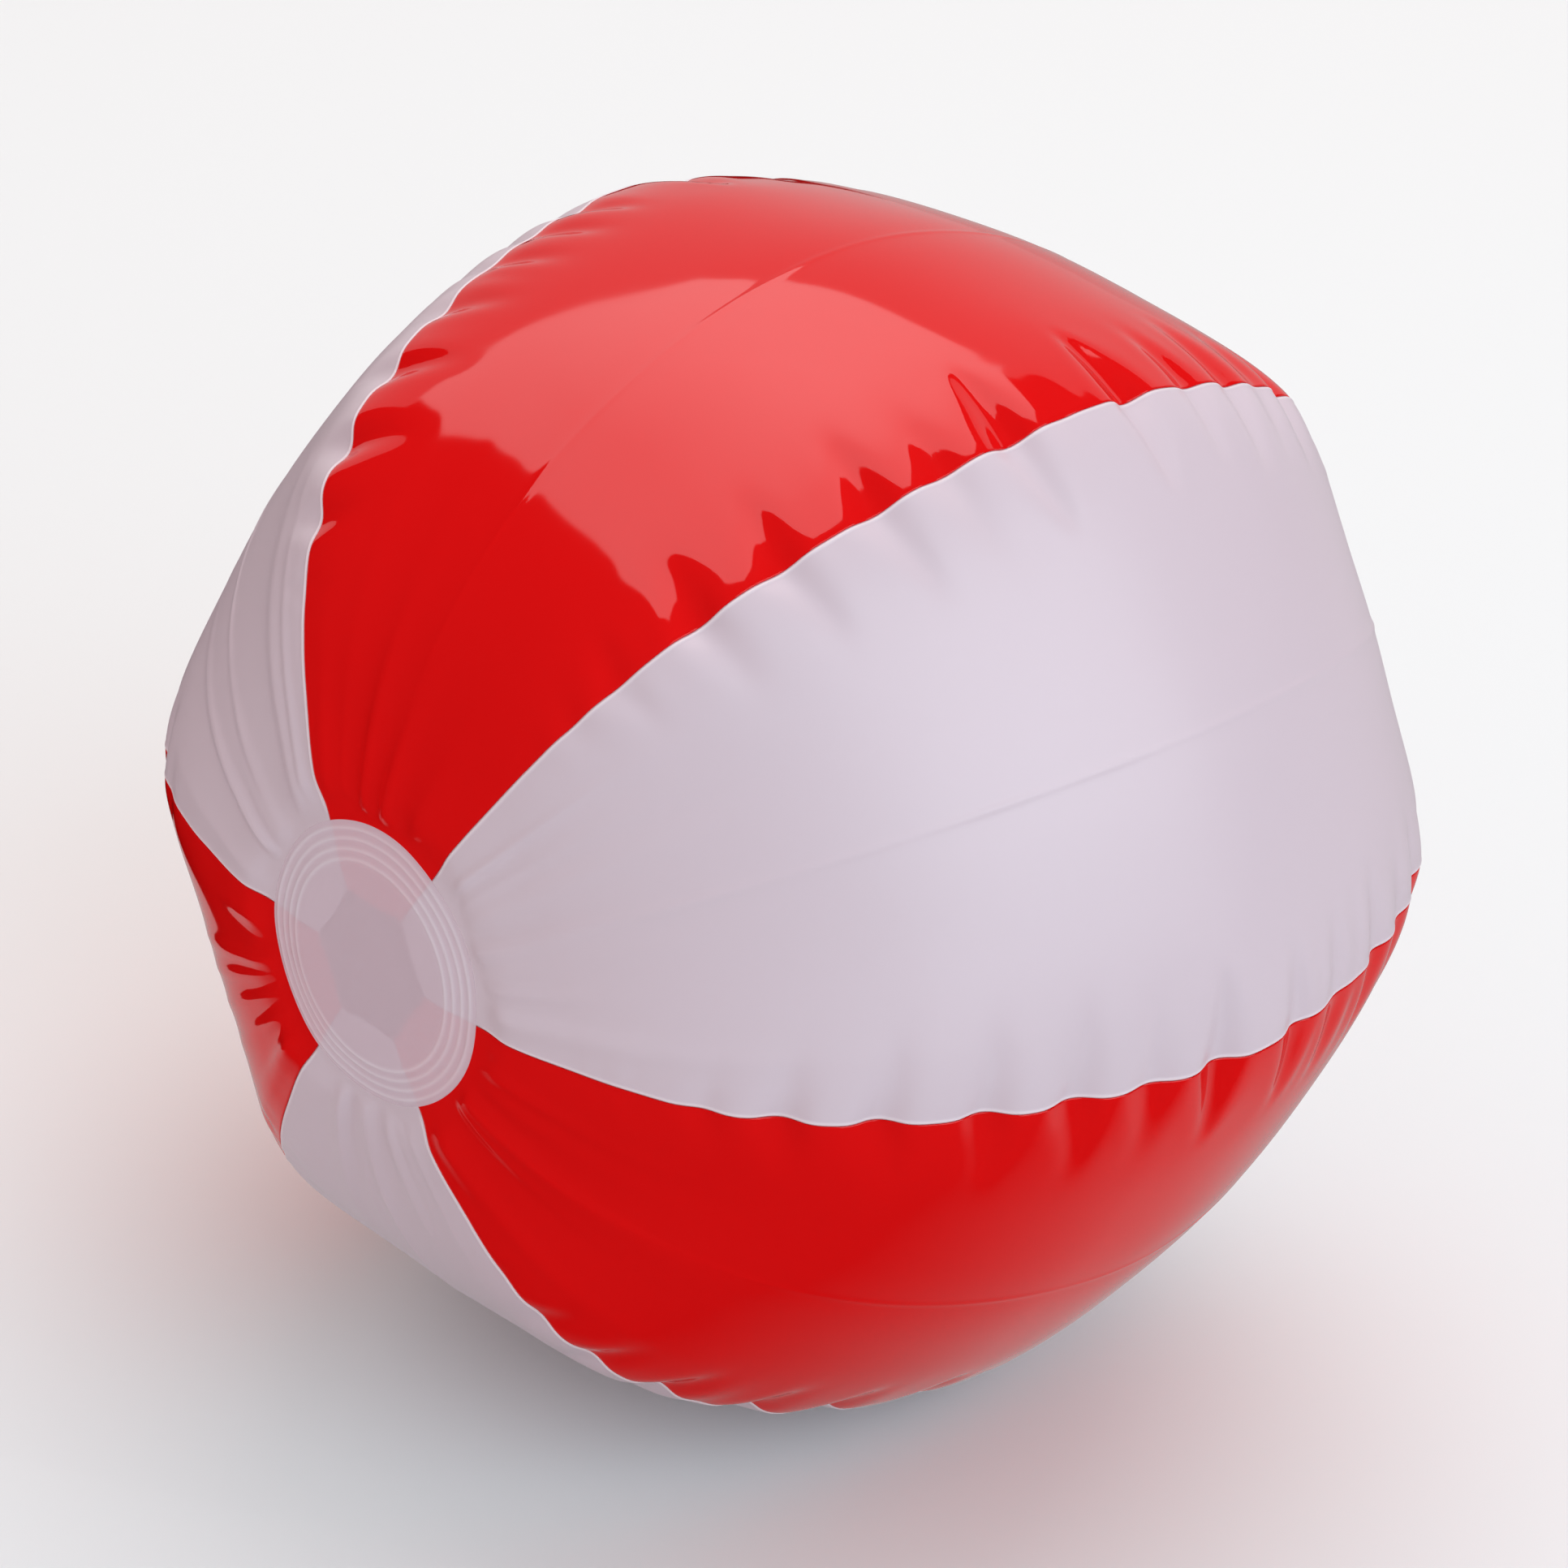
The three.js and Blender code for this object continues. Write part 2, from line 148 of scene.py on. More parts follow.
def section_wave(around):
    """1.2 at the seams and -0.8 in mid-panel, sharper at the seams than a cosine."""
    return np.cos(PANEL_COUNT * around) + CORNER_SHARPNESS * np.cos(2 * PANEL_COUNT * around)


def corner_amount(sine):
    """How far the section is drawn out at a seam, as a fraction of its radius."""
    return CORNER_TERMS[0] + CORNER_TERMS[1] * sine**2 + CORNER_TERMS[2] * sine**4


def ball_point(polar, around):
    """A point of the ball, measured from its centre. polar is 0 at the -Y pole."""
    polar, around = np.broadcast_arrays(polar, around)
    sine, cosine = np.sin(polar), np.cos(polar)
    radius = BALL_RADIUS * sine**RADIUS_POWER * (1 + corner_amount(sine) * section_wave(around))
    height = -POLE_HEIGHT * signed_power(cosine, HEIGHT_POWER)
    return np.stack([radius * np.cos(around), height, radius * np.sin(around)])


def ball_height(radius, around):
    """How far the ball's skin is from its middle plane, at a radius from the axis near a pole."""
    relative = np.minimum(radius / BALL_RADIUS, POLAR_LIMIT)
    sine = relative ** (1 / RADIUS_POWER)
    for _ in range(HEIGHT_ROUNDS):
        sine = (relative / (1 + corner_amount(sine) * section_wave(around))) ** (1 / RADIUS_POWER)
    return POLE_HEIGHT * np.sqrt(1 - sine**2) ** HEIGHT_POWER


def under_disc(radius, around):
    """The same for the skin under a pole disc, whose flat middle lifts it a little."""
    skin = ball_height(radius, around)
    lifted = DISC_FACE - DISC_THICKNESS - DISC_CLEARANCE
    return mix(skin, lifted, 1 - smooth_step(radius, *DISC_BEND))


def path_lengths(points):
    """The length along each row of points, from its start."""
    steps = np.linalg.norm(np.diff(points, axis=-1), axis=0)
    return np.concatenate([np.zeros_like(steps[..., :1]), np.cumsum(steps, -1)], -1)


def cut_pattern():
    """The flat panel's rows: the polar angle of each, and the step between them."""
    polar = np.linspace(0, math.pi / 2, TIP_SAMPLES)
    tip = np.interp(PANEL_TIP_RADIUS, ball_point(polar, 0.0)[0], polar)
    polar = np.linspace(tip, math.pi - tip, OUTLINE_SAMPLES)
    middle = path_lengths(ball_point(polar, PANEL_ANGLE / 2))
    rows = int(round(middle[-1] / GRID_ROW)) + 1
    row_polar = np.interp(np.linspace(0, middle[-1], rows), middle, polar)
    return row_polar, middle[-1] / (rows - 1)


class Film:
    """The ball's skin as a grid of points: rows from the front pole to the rear, columns round."""

    def __init__(self, row_polar, row_step, columns, bending):
        self.rows = len(row_polar)
        self.columns = columns
        self.round = PANEL_COUNT * columns
        self.row_step = row_step
        self.along = np.arange(self.rows) * row_step
        share = np.arange(columns + 1) / columns
        around = np.linspace(0, PANEL_ANGLE / 2, HOOP_SAMPLES)
        hoop = path_lengths(ball_point(row_polar[:, None], around))
        self.half_width = hoop[:, -1]
        angle = np.empty((self.rows, columns))
        for row in range(self.rows):
            from_seam = np.minimum(share[:-1], 1 - share[:-1]) * 2 * self.half_width[row]
            half = np.interp(from_seam, hoop[row], around)
            angle[row] = np.where(share[:-1] <= 0.5, half, PANEL_ANGLE - half)
        turned = [angle + panel * PANEL_ANGLE for panel in range(PANEL_COUNT)]
        self.start = ball_point(row_polar[:, None], np.concatenate(turned, 1)).astype(np.float32)
        self.cut(share)
        self.stiffen(bending)

    def cut(self, share):
        """The springs' rest lengths, from the flat panel."""
        across = (2 * share - 1) * self.half_width[:, None]
        along = np.repeat(self.along[:, None], len(share), 1)

        def tiled(lengths):
            return np.tile(lengths * CUT_SCALE, (1, PANEL_COUNT)).astype(np.float32)

        self.hoop_rest = tiled(np.diff(across, axis=1))
        column = np.hypot(np.diff(across, axis=0), np.diff(along, axis=0))
        self.column_rest = tiled(column[:, :-1])
        down = across[1:, 1:] - across[:-1, :-1], along[1:, 1:] - along[:-1, :-1]
        up = across[1:, :-1] - across[:-1, 1:], along[1:, :-1] - along[:-1, 1:]
        self.diagonal_rest = tiled(np.hypot(*down)), tiled(np.hypot(*up))

    def stiffen(self, bending):
        """The springs' stiffness for an even film, and the mass that keeps each step stable."""
        wide = self.hoop_rest
        long = np.float32(self.row_step * CUT_SCALE)
        shear = STRETCH_STIFFNESS / (2 * (1 + SHEAR_RATIO))
        wide_between = (wide[1:] + wide[:-1]) / 2
        self.hoop_k = STRAIGHT_SHARE * STRETCH_STIFFNESS * long / wide
        self.column_k = STRAIGHT_SHARE * STRETCH_STIFFNESS * wide_between / long
        self.diagonal_k = shear * (wide_between**2 + long**2) / (2 * wide_between * long)
        seam = np.arange(self.round) % self.columns
        near_seam = np.minimum(seam, self.columns - seam) * BALL_RADIUS * PANEL_ANGLE / self.columns
        stiffness = np.where(near_seam <= SEAM_BAND, bending * SEAM_BENDING, bending)
        self.column_bend = stiffness.astype(np.float32) * wide[1:-1] / long**3
        least = THIN_CELL * self.row_step
        self.hoop_bend = np.minimum(bending * long / np.maximum(wide, least) ** 3, 4 * self.hoop_k)
        self.hoop_bend = self.hoop_bend.astype(np.float32)
        mass = self.hoop_k + before(self.hoop_k)
        mass[:-1] += self.column_k + 2 * self.diagonal_k
        mass[1:] += self.column_k + 2 * self.diagonal_k
        mass[1:-1] += 6 * self.column_bend
        mass[:-2] += 2 * self.column_bend
        mass[2:] += 2 * self.column_bend
        mass += 6 * self.hoop_bend + 2 * after(self.hoop_bend) + 2 * before(self.hoop_bend)
        self.free = (np.hypot(self.start[0], self.start[2]) > CLAMP_RADIUS).astype(np.float32)
        self.response = (self.free / (mass * STEP_SAFETY)).astype(np.float32)

    def unevenness(self, amount, span, reach, rows):
        """Smooth random numbers along each seam, fading out to its sides and near the poles."""
        field = np.zeros((len(rows), self.round), np.float32)
        cell = BALL_RADIUS * PANEL_ANGLE / self.columns
        random = np.random.default_rng(SEED)
        knots = int(self.along[-1] / span) + 3
        from_pole = np.minimum(rows, self.along[-1] - rows)
        calm = smooth_step(from_pole, *POLE_CALM)
        knot = (rows / span).astype(int)
        share = smooth_step(rows / span - knot, 0, 1)
        furthest = int(BELL_REACH * reach / cell)
        for panel in range(PANEL_COUNT):
            values = random.normal(0, amount, knots)
            line = (values[knot] * (1 - share) + values[knot + 1] * share) * calm
            for offset in range(-furthest, furthest + 1):
                fade = math.exp(-((offset * cell / reach) ** 2))
                field[:, (panel * self.columns + offset) % self.round] += line * fade
        return field

    def relax(self, grid, steps):
        """Lets the pressure, the springs and the bending stiffness come to rest."""
        speed = np.zeros_like(grid)
        blow = np.float32(PRESSURE / 4)  # the cross product below is of steps two cells long
        for _ in range(steps):
            force = np.zeros_like(grid)
            further = after(grid)
            pull = spring(further - grid, self.hoop_rest, self.hoop_k)
            force += pull - before(pull)
            pull = spring(grid[:, 1:] - grid[:, :-1], self.column_rest, self.column_k)
            force[:, :-1] += pull
            force[:, 1:] -= pull
            pull = spring(further[:, 1:] - grid[:, :-1], self.diagonal_rest[0], self.diagonal_k)
            force[:, :-1] += pull
            force[:, 1:] -= before(pull)
            pull = spring(grid[:, 1:] - further[:, :-1], self.diagonal_rest[1], self.diagonal_k)
            force[:, 1:] -= pull
            force[:, :-1] += before(pull)
            bend = (grid[:, 2:] - 2 * grid[:, 1:-1] + grid[:, :-2]) * self.column_bend
            force[:, 1:-1] += 2 * bend
            force[:, 2:] -= bend
            force[:, :-2] -= bend
            nearer = before(grid)
            bend = (further - 2 * grid + nearer) * self.hoop_bend
            force += 2 * bend - after(bend) - before(bend)
            force[:, 1:-1] += blow * cross(grid[:, 2:] - grid[:, :-2], (further - nearer)[:, 1:-1])
            speed = (speed + force * self.response) * np.float32(DAMPING)
            grid += speed
        return grid


def after(values):
    """Each column's neighbour further round."""
    return np.roll(values, -1, -1)


def before(values):
    return np.roll(values, 1, -1)


def spring(reach, rest, stiffness):
    length = np.sqrt(reach[0] ** 2 + reach[1] ** 2 + reach[2] ** 2)
    return reach * (stiffness * (1 - rest / length))


def cross(a, b):
    return np.stack([
        a[1] * b[2] - a[2] * b[1],
        a[2] * b[0] - a[0] * b[2],
        a[0] * b[1] - a[1] * b[0],
    ])


def smooth_step(value, low, high):
    share = np.clip((value - low) / (high - low), 0, 1)
    return share * share * (3 - 2 * share)


def cubic(values, place):
    """Each row's values, read between its points by a cubic through the four nearest ones."""
    index = np.clip(np.floor(place).astype(int), 0, values.shape[2] - 2)
    share = (place - index).astype(np.float32)
    first = 2 * values[..., :1] - values[..., 1:2]
    end = 2 * values[..., -1:] - values[..., -2:-1]
    padded = np.concatenate([first, values, end], -1)
    weights = (
        ((2 - share) * share - 1) * share / 2,
        ((3 * share - 5) * share * share + 2) / 2,
        ((4 - 3 * share) * share + 1) * share / 2,
        (share - 1) * share * share / 2,
    )
    row = np.arange(values.shape[1])[:, None]
    return sum(padded[:, row, index + k] * weights[k] for k in range(4))


def panel_skin(grid, film, panel):
    """The points of one panel, both seams included."""
    columns = np.arange(film.columns + 1) + (panel % PANEL_COUNT) * film.columns
    return grid[:, :, columns % film.round]


def refine(film, finer, grid):
    """A coarse grid's result on a grid with twice the rows and columns, panel by panel."""
    rows = cubic(grid.swapaxes(1, 2), np.arange(finer.rows) / 2).swapaxes(1, 2)
    place = np.arange(finer.columns) / 2
    panels = [cubic(panel_skin(rows, film, panel), place) for panel in range(PANEL_COUNT)]
    return np.ascontiguousarray(np.concatenate(panels, 2), np.float32)


def gaussian_rows(values, spread):
    """values smoothed along the rows' direction, with spread in rows."""
    reach = int(BELL_REACH * spread)
    kernel = np.exp(-0.5 * (np.arange(-reach, reach + 1) / spread) ** 2)
    kernel /= kernel.sum()
    padded = np.pad(values, ((0, 0), (reach, reach), (0, 0)), "edge")
    out = np.zeros_like(values)
    for offset, weight in enumerate(kernel):
        out += padded[:, offset:offset + values.shape[1]] * np.float32(weight)
    return out


def welded_film(row_polar, row_step, columns, bending, reach):
    """A film whose seams are welded a little unevenly along their length."""
    film = Film(row_polar, row_step, columns, bending)
    between = (film.along[1:] + film.along[:-1]) / 2
    film.column_rest = film.column_rest * (
        1 + film.unevenness(LENGTH_NOISE, LENGTH_NOISE_SPAN, reach, between)
    )
    return film


def inflate():
    """Blows the cut panels up, and returns the film and its points."""
    row_polar, row_step = cut_pattern()
    reach = LENGTH_NOISE_REACH * row_step
    film = welded_film(row_polar, row_step, GRID_COLUMNS, BENDING_STIFFNESS[0], reach)
    outward = film.start / np.linalg.norm(film.start, axis=0)
    bumps = film.unevenness(BUMP_NOISE, BUMP_NOISE_SPAN, BUMP_NOISE_REACH * row_step, film.along)
    grid = film.relax(film.start + outward * (bumps * film.free), RELAX_STEPS[0])
    fine_polar = np.interp(np.arange(2 * film.rows - 1) / 2, np.arange(film.rows), row_polar)
    finer = welded_film(fine_polar, row_step / 2, 2 * GRID_COLUMNS, BENDING_STIFFNESS[1], reach)
    grid = finer.relax(refine(film, finer, grid), RELAX_STEPS[1])
    film = finer
    # The slow changes of shape follow the CAD model, and the puckers stay.
    drift = gaussian_rows(grid - film.start, SHAPE_FILTER / film.row_step)
    edge = np.argmax(film.free[:, 0] > 0) * film.row_step
    from_edge = np.minimum(film.along, film.along[-1] - film.along) - edge
    grid -= drift * smooth_step(from_edge, 0, SHAPE_RAMP).astype(np.float32)[:, None]
    radius = np.hypot(film.start[0], film.start[2])
    freed = smooth_step(radius, CLAMP_RADIUS, CLAMP_RADIUS + CLAMP_EASE).astype(np.float32)
    grid = film.start + (grid - film.start) * freed
    return film, grid


# ---- Mesh tools ----
def added(name, data):
    """A new object in the scene."""
    thing = bpy.data.objects.new(name, data)
    bpy.context.scene.collection.objects.link(thing)
    return thing


def make_object(name, points, faces, material, smooth=True):
    mesh = bpy.data.meshes.new(name)
    mesh.from_pydata(points, [], faces)
    mesh.materials.append(material)
    mesh.polygons.foreach_set("use_smooth", [smooth] * len(mesh.polygons))
    mesh.update()
    return added(name, mesh)


def set_painted_highlight(piece, values):
    """Tells the material how much of the painted highlight colour each point has: a lighter colour
    painted along the seam beads and on the disc's ring crests, where light catches them.
    """
    layer = piece.data.attributes.new("painted_highlight", "FLOAT", "POINT")
    layer.data.foreach_set("value", values.astype(np.float32))


def grid_faces(rows, columns, start=0, closed=False, flipped=False):
    """Quads over a grid of points. closed joins the last column to the first."""
    around = columns if closed else columns - 1
    row, column = np.meshgrid(np.arange(rows - 1), np.arange(around), indexing="ij")
    a = start + row * columns + column
    b = a + columns
    d = start + row * columns + (column + 1) % columns
    c = d + columns
    corners = [a, d, c, b] if flipped else [a, b, c, d]
    return np.stack(corners, -1).reshape(-1, 4)


def grid_normals(grid):
    """Outward unit normals of a grid of points with axes (3, rows, columns)."""
    normal = cross(np.gradient(grid, axis=1), np.gradient(grid, axis=2))
    return normal / np.maximum(np.linalg.norm(normal, axis=0), 1e-12)


def sheet_object(name, outer, inner, material, painted_highlight):
    """A closed thin sheet from the grids of its outer and inner face."""
    rows, columns = outer.shape[1:]
    count = rows * columns
    points = np.concatenate([outer.reshape(3, -1).T, inner.reshape(3, -1).T])
    index = np.arange(count).reshape(rows, columns)
    border = np.concatenate([index[:-1, 0], index[-1, :-1], index[:0:-1, -1], index[0, :0:-1]])
    following = np.roll(border, -1)
    rim = np.stack([following, border, border + count, following + count], -1)
    faces = np.concatenate([
        grid_faces(rows, columns),
        grid_faces(rows, columns, count, flipped=True),
        rim,
    ])
    piece = make_object(name, points.tolist(), faces.tolist(), material)
    # the painted highlight's share, for the points of both faces
    set_painted_highlight(piece, np.tile(painted_highlight.reshape(-1), 2))
    return piece


# ---- Panels ----
LAP = 0.004 * np.array([1, 2 / 3, 1 / 3, 0.1])  # how far past the seam a white edge's columns are
LAP_SUNK = 0.00030
# Rows across an edge: distance in from the seam, rise of the face, share of the painted highlight,
# a lighter colour painted along the bead where light catches it
RED_EDGE = [(0, -0.00006, 0), (0.0004, 0, 0), (0.0009, 0, 0), (0.0016, 0, 0), (0.0024, 0, 0)]
WHITE_BEAD = [
    (0, -0.00028, 0.6),
    (0.00018, -0.00016, 0.9),
    (0.00034, 0.00008, 1),
    (0.00052, 0.00016, 1),
    (0.00072, 0.00015, 0.8),
    (0.00092, 0.00007, 0.4),
    (0.00115, 0.00001, 0),
    (0.00150, 0, 0),
    (0.00230, 0, 0),
]
BEAD_FADE = (0.0335, 0.0370)  # the bead and its painted highlight fade out under the pole disc, at these radii
CREASE_OFFSETS = (0.0022, 0.0014, 0.0009, 0.00045)  # from the panel's centre line
WHITE_CREASE_HEIGHT = 0.00026
RED_CREASE_HEIGHT = 0.00014
CREASE_WIDTH = 0.0009
CREASE_SWAY = 0.25  # how uneven the crease's height is along two waves of these lengths
CREASE_SWAY_LENGTHS = (0.017, 0.0071)
CREASE_SWAY_STEP = 2.1  # sets the waves of neighbouring panels apart
CREASE_GROWTH = 2.2  # this much wider by the poles
CREASE_GROWTH_LENGTH = 0.060
CREASE_GROWTH_POWER = 1.4  # of the width's growth, for the height
FOLDS_PER_POLE = 9
FOLD_SEED = 12
FOLD_SPREAD = 0.85  # of the panel's half width
FOLD_START = 0.008
FOLD_HEIGHT = (0.00030, 0.00095)
FOLD_WIDTH = (0.0014, 0.0032)
FOLD_LENGTH = (0.016, 0.060)
MIDDLE_COLUMNS = 40
MIDDLE_CROWDING = 0.45  # columns are this much denser near the seams than evenly spaced ones
FLOOR_SOFTNESS = 0.0004


def read_panel(grid, film, panel, from_left):
    """Points of a panel at a distance from its left seam, given for every row and column."""
    place = from_left / (2 * film.half_width[:, None]) * film.columns
    return cubic(panel_skin(grid, film, panel), place)


def panel_columns(film, edge):
    """For one half of a panel, the distance of every column from the seam, row by row."""
    distances = [np.full(film.rows, distance) for distance in edge]
    last = film.half_width - CREASE_OFFSETS[0]
    for step in range(1, MIDDLE_COLUMNS):
        share = step / MIDDLE_COLUMNS
        share = share * (1 - MIDDLE_CROWDING + MIDDLE_CROWDING * share)
        distances.append(mix(edge[-1], last, share))
    distances += [film.half_width - offset for offset in CREASE_OFFSETS]
    return np.stack(distances, 1)


def bell(distance, spread):
    """1 at no distance, down to a third at the spread."""
    return np.exp(-((distance / spread) ** 2))


def crease(from_centre, along, panel, height):
    """The fold line that packing left down a panel's middle, higher and wider towards the poles."""
    long_wave = np.sin(along / CREASE_SWAY_LENGTHS[0] + CREASE_SWAY_STEP * panel)
    short_wave = np.sin(along / CREASE_SWAY_LENGTHS[1] + panel)
    uneven = 1 - CREASE_SWAY + CREASE_SWAY * long_wave * short_wave
    from_pole = np.minimum(along, along[-1] - along)
    growth = 1 + CREASE_GROWTH * bell(from_pole, CREASE_GROWTH_LENGTH)
    raised = height * uneven * growth**CREASE_GROWTH_POWER
    return raised[:, None] * bell(from_centre, CREASE_WIDTH * growth[:, None])


def pole_folds(share, film, panel):
    """Soft ridges that fan out from under the pole discs. share is -1 and 1 at the seams."""
    raised = np.zeros_like(share)
    for pole, from_pole in enumerate((film.along, film.along[-1] - film.along)):
        from_disc = from_pole - CLAMP_RADIUS + PANEL_TIP_RADIUS
        random = np.random.default_rng(FOLD_SEED + 2 * panel + pole)
        for _ in range(FOLDS_PER_POLE):
            place = random.uniform(-FOLD_SPREAD, FOLD_SPREAD)
            height = random.uniform(*FOLD_HEIGHT)
            width = random.uniform(*FOLD_WIDTH)
            length = random.uniform(*FOLD_LENGTH)
            fade = bell(from_disc, length) * smooth_step(from_disc, 0, FOLD_START)
            across = (share - place) * film.half_width[:, None]
            raised += height * bell(across, width) * fade[:, None]
    return raised


def lay_on_floor(points, clearance):
    """Sets points on the floor, which presses the lowest ones flat, with a rounded edge."""
    height = points[2] + CENTRE_Z - clearance
    points[2] = FLOOR_SOFTNESS * np.logaddexp(0, height / FLOOR_SOFTNESS) + clearance
    return points


def make_panel(grid, film, panel, name):
    """One panel. The white ones have a beaded edge with a highlight painted along it, and lap under
    the red ones.
    """
    is_white = name.startswith("panel_white")
    distances, raises, highlight_shares = np.array(WHITE_BEAD if is_white else RED_EDGE).T
    half = panel_columns(film, distances)
    raises = np.append(raises, np.zeros(half.shape[1] - len(raises)))
    raised = np.concatenate([raises, [0.0], raises[::-1]])
    middle = film.half_width[:, None]
    width = 2 * middle
    from_left = np.concatenate([half, middle, (width - half)[:, ::-1]], 1)
    outer = read_panel(grid, film, panel, from_left)
    # Painted highlight: the white bead's columns get a lighter colour, faded out under the pole
    # disc
    highlight_share = np.interp(np.minimum(from_left, width - from_left), distances, highlight_shares)
    height = WHITE_CREASE_HEIGHT if is_white else RED_CREASE_HEIGHT
    relief = crease(np.abs(from_left - middle), film.along, panel, height)
    relief += pole_folds(from_left / middle - 1, film, panel)
    if is_white:
        left_lap = read_panel(grid, film, panel - 1, width - LAP)
        right_lap = read_panel(grid, film, panel + 1, 0 * width + LAP[::-1])
        outer = np.concatenate([left_lap, outer, right_lap], 2)
        laps = (len(LAP), len(LAP))
        raised = np.pad(raised, laps, constant_values=-LAP_SUNK)
        highlight_share = np.pad(highlight_share, ((0, 0), laps))
        relief = np.pad(relief, ((0, 0), laps))
    radius = np.hypot(outer[0], outer[2])
    shown = smooth_step(radius, *BEAD_FADE)
    lift = np.where(raised > 0, raised * shown, raised) + relief * shown
    outer = outer + grid_normals(outer) * lift
    around = np.arctan2(outer[2], outer[0])
    outer[1] += np.sign(outer[1]) * (under_disc(radius, around) - ball_height(radius, around))
    inner = outer - grid_normals(outer) * FILM
    outer = lay_on_floor(outer, 0)
    inner = lay_on_floor(inner, FILM)
    piece = sheet_object("vinyl_" + name, outer, inner, WHITE if is_white else RED, highlight_share * shown)
    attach(piece, "ball")
    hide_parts(name)


# ---- Materials ----
MOTTLES_PER_METRE = 16
GLOSS_PATCHES_PER_METRE = 30
RIPPLES_PER_METRE = 90
NOISE_RANGE = (0.2, 0.8)  # where nearly all of the noise is


def filled(tree, node, values):
    """A node with its inputs set to values, or linked to other nodes' outputs."""
    for socket, value in values.items():
        if isinstance(value, bpy.types.NodeSocket):
            tree.links.new(value, node.inputs[socket])
        else:
            node.inputs[socket].default_value = value
    return node


def noise(tree, place, scale, detail):
    node = tree.nodes.new("ShaderNodeTexNoise")
    return filled(tree, node, {"Vector": place, "Scale": scale, "Detail": detail}).outputs["Fac"]


def ranged(tree, value, low, high, from_low, from_high):
    node = tree.nodes.new("ShaderNodeMapRange")
    limits = {"From Min": from_low, "From Max": from_high, "To Min": low, "To Max": high}
    return filled(tree, node, {"Value": value, **limits}).outputs["Result"]


def mixed_colour(tree, factor, first, second):
    node = tree.nodes.new("ShaderNodeMix")
    node.data_type = "RGBA"
    colours = {6: first, 7: second}  # the numbers of its sockets for colours
    return filled(tree, node, {"Factor": factor, **colours}).outputs[2]


def patches(tree, place, per_metre, low, high):
    """A value that wanders between two others."""
    return ranged(tree, noise(tree, place, per_metre, 2), low, high, *NOISE_RANGE)


def new_material(name):
    """A material and its node tree."""
    material = bpy.data.materials.new(name)
    material.use_nodes = True
    return material, material.node_tree


def plastic(name, colours, roughness, ripple=5e-6, painted_highlight=None, through=None, alpha=1, clear=0):
    """Soft vinyl: faint mottling, uneven gloss, a slight ripple, and some light from behind. The
    optional lighter colour is a painted highlight, mixed in by the point attribute.
    """
    material, tree = new_material(name)
    shader = tree.nodes["Principled BSDF"]
    place = tree.nodes.new("ShaderNodeTexCoord").outputs["Object"]
    colours = [(*colour, 1) for colour in colours]
    base = mixed_colour(tree, patches(tree, place, MOTTLES_PER_METRE, 0, 1), *colours)
    # Painted highlight: a lighter colour mixed into the base where the point attribute asks for it
    if painted_highlight:
        attribute = tree.nodes.new("ShaderNodeAttribute")
        attribute.attribute_name = "painted_highlight"
        base = mixed_colour(tree, attribute.outputs["Fac"], base, (*painted_highlight, 1))
    height = noise(tree, place, RIPPLES_PER_METRE, 1)
    bump = filled(tree, tree.nodes.new("ShaderNodeBump"), {"Distance": ripple, "Height": height})
    filled(tree, shader, {
        "Base Color": base,
        "Roughness": patches(tree, place, GLOSS_PATCHES_PER_METRE, *roughness),
        "Normal": bump.outputs["Normal"],
        "Alpha": alpha,
        "Transmission Weight": clear,
    })
    if through:
        share, colour = through
        behind = filled(tree, tree.nodes.new("ShaderNodeBsdfTranslucent"), {"Color": (*colour, 1)})
        shaders = {1: shader.outputs["BSDF"], 2: behind.outputs["BSDF"]}
        both = filled(tree, tree.nodes.new("ShaderNodeMixShader"), {"Fac": share, **shaders})
        filled(tree, tree.nodes["Material Output"], {"Surface": both.outputs["Shader"]})
    return material


RED = plastic(
    "red_vinyl",
    [(0.86, 0.0065, 0.0070), (0.83, 0.0058, 0.0063)],
    (0.055, 0.075),
    through=(0.2, (0.95, 0.02, 0.02)),
)
WHITE = plastic(
    "white_vinyl",
    [(0.735, 0.582, 0.64), (0.72, 0.568, 0.626)],
    (0.34, 0.37),
    # painted highlight along the seam bead, where light catches its edge
    painted_highlight=(0.88, 0.72, 0.76),
    through=(0.12, (0.85, 0.74, 0.80)),
)
MILKY = plastic(
    "milky_vinyl",
    [(0.65, 0.495, 0.555), (0.63, 0.48, 0.54)],
    (0.16, 0.22),
    # painted highlight on the crests of the disc's weld rings
    painted_highlight=(0.73, 0.605, 0.66),
    alpha=0.68,
)
CLEAR = plastic(
    "clear_moulding",
    [(0.88, 0.85, 0.88), (0.85, 0.82, 0.85)],
    (0.12, 0.20),
    ripple=2e-6,
    clear=0.30,
)

# ---- Turned pieces ----
FILLET_STEPS = 4


def bezier(start, control, end, steps):
    """Points along a curve, both ends included."""
    return [
        start * (1 - t) ** 2 + control * (2 * t * (1 - t)) + end * t**2
        for t in np.linspace(0, 1, steps + 1)
    ]


def filleted(outline):
    """Rounds an outline's corners. Each point is its radius, its height and its fillet's radius."""
    points = []
    for k, (radius, height, fillet) in enumerate(outline):
        corner = Vector((radius, height))
        if fillet <= 0:
            points.append(corner)
            continue
        before_it = Vector(outline[k - 1][:2]) - corner
        after_it = Vector(outline[(k + 1) % len(outline)][:2]) - corner
        start = corner + before_it.normalized() * min(fillet, before_it.length / 2)
        end = corner + after_it.normalized() * min(fillet, after_it.length / 2)
        points += bezier(start, corner, end, FILLET_STEPS)
    return np.array([point[:] for point in points])


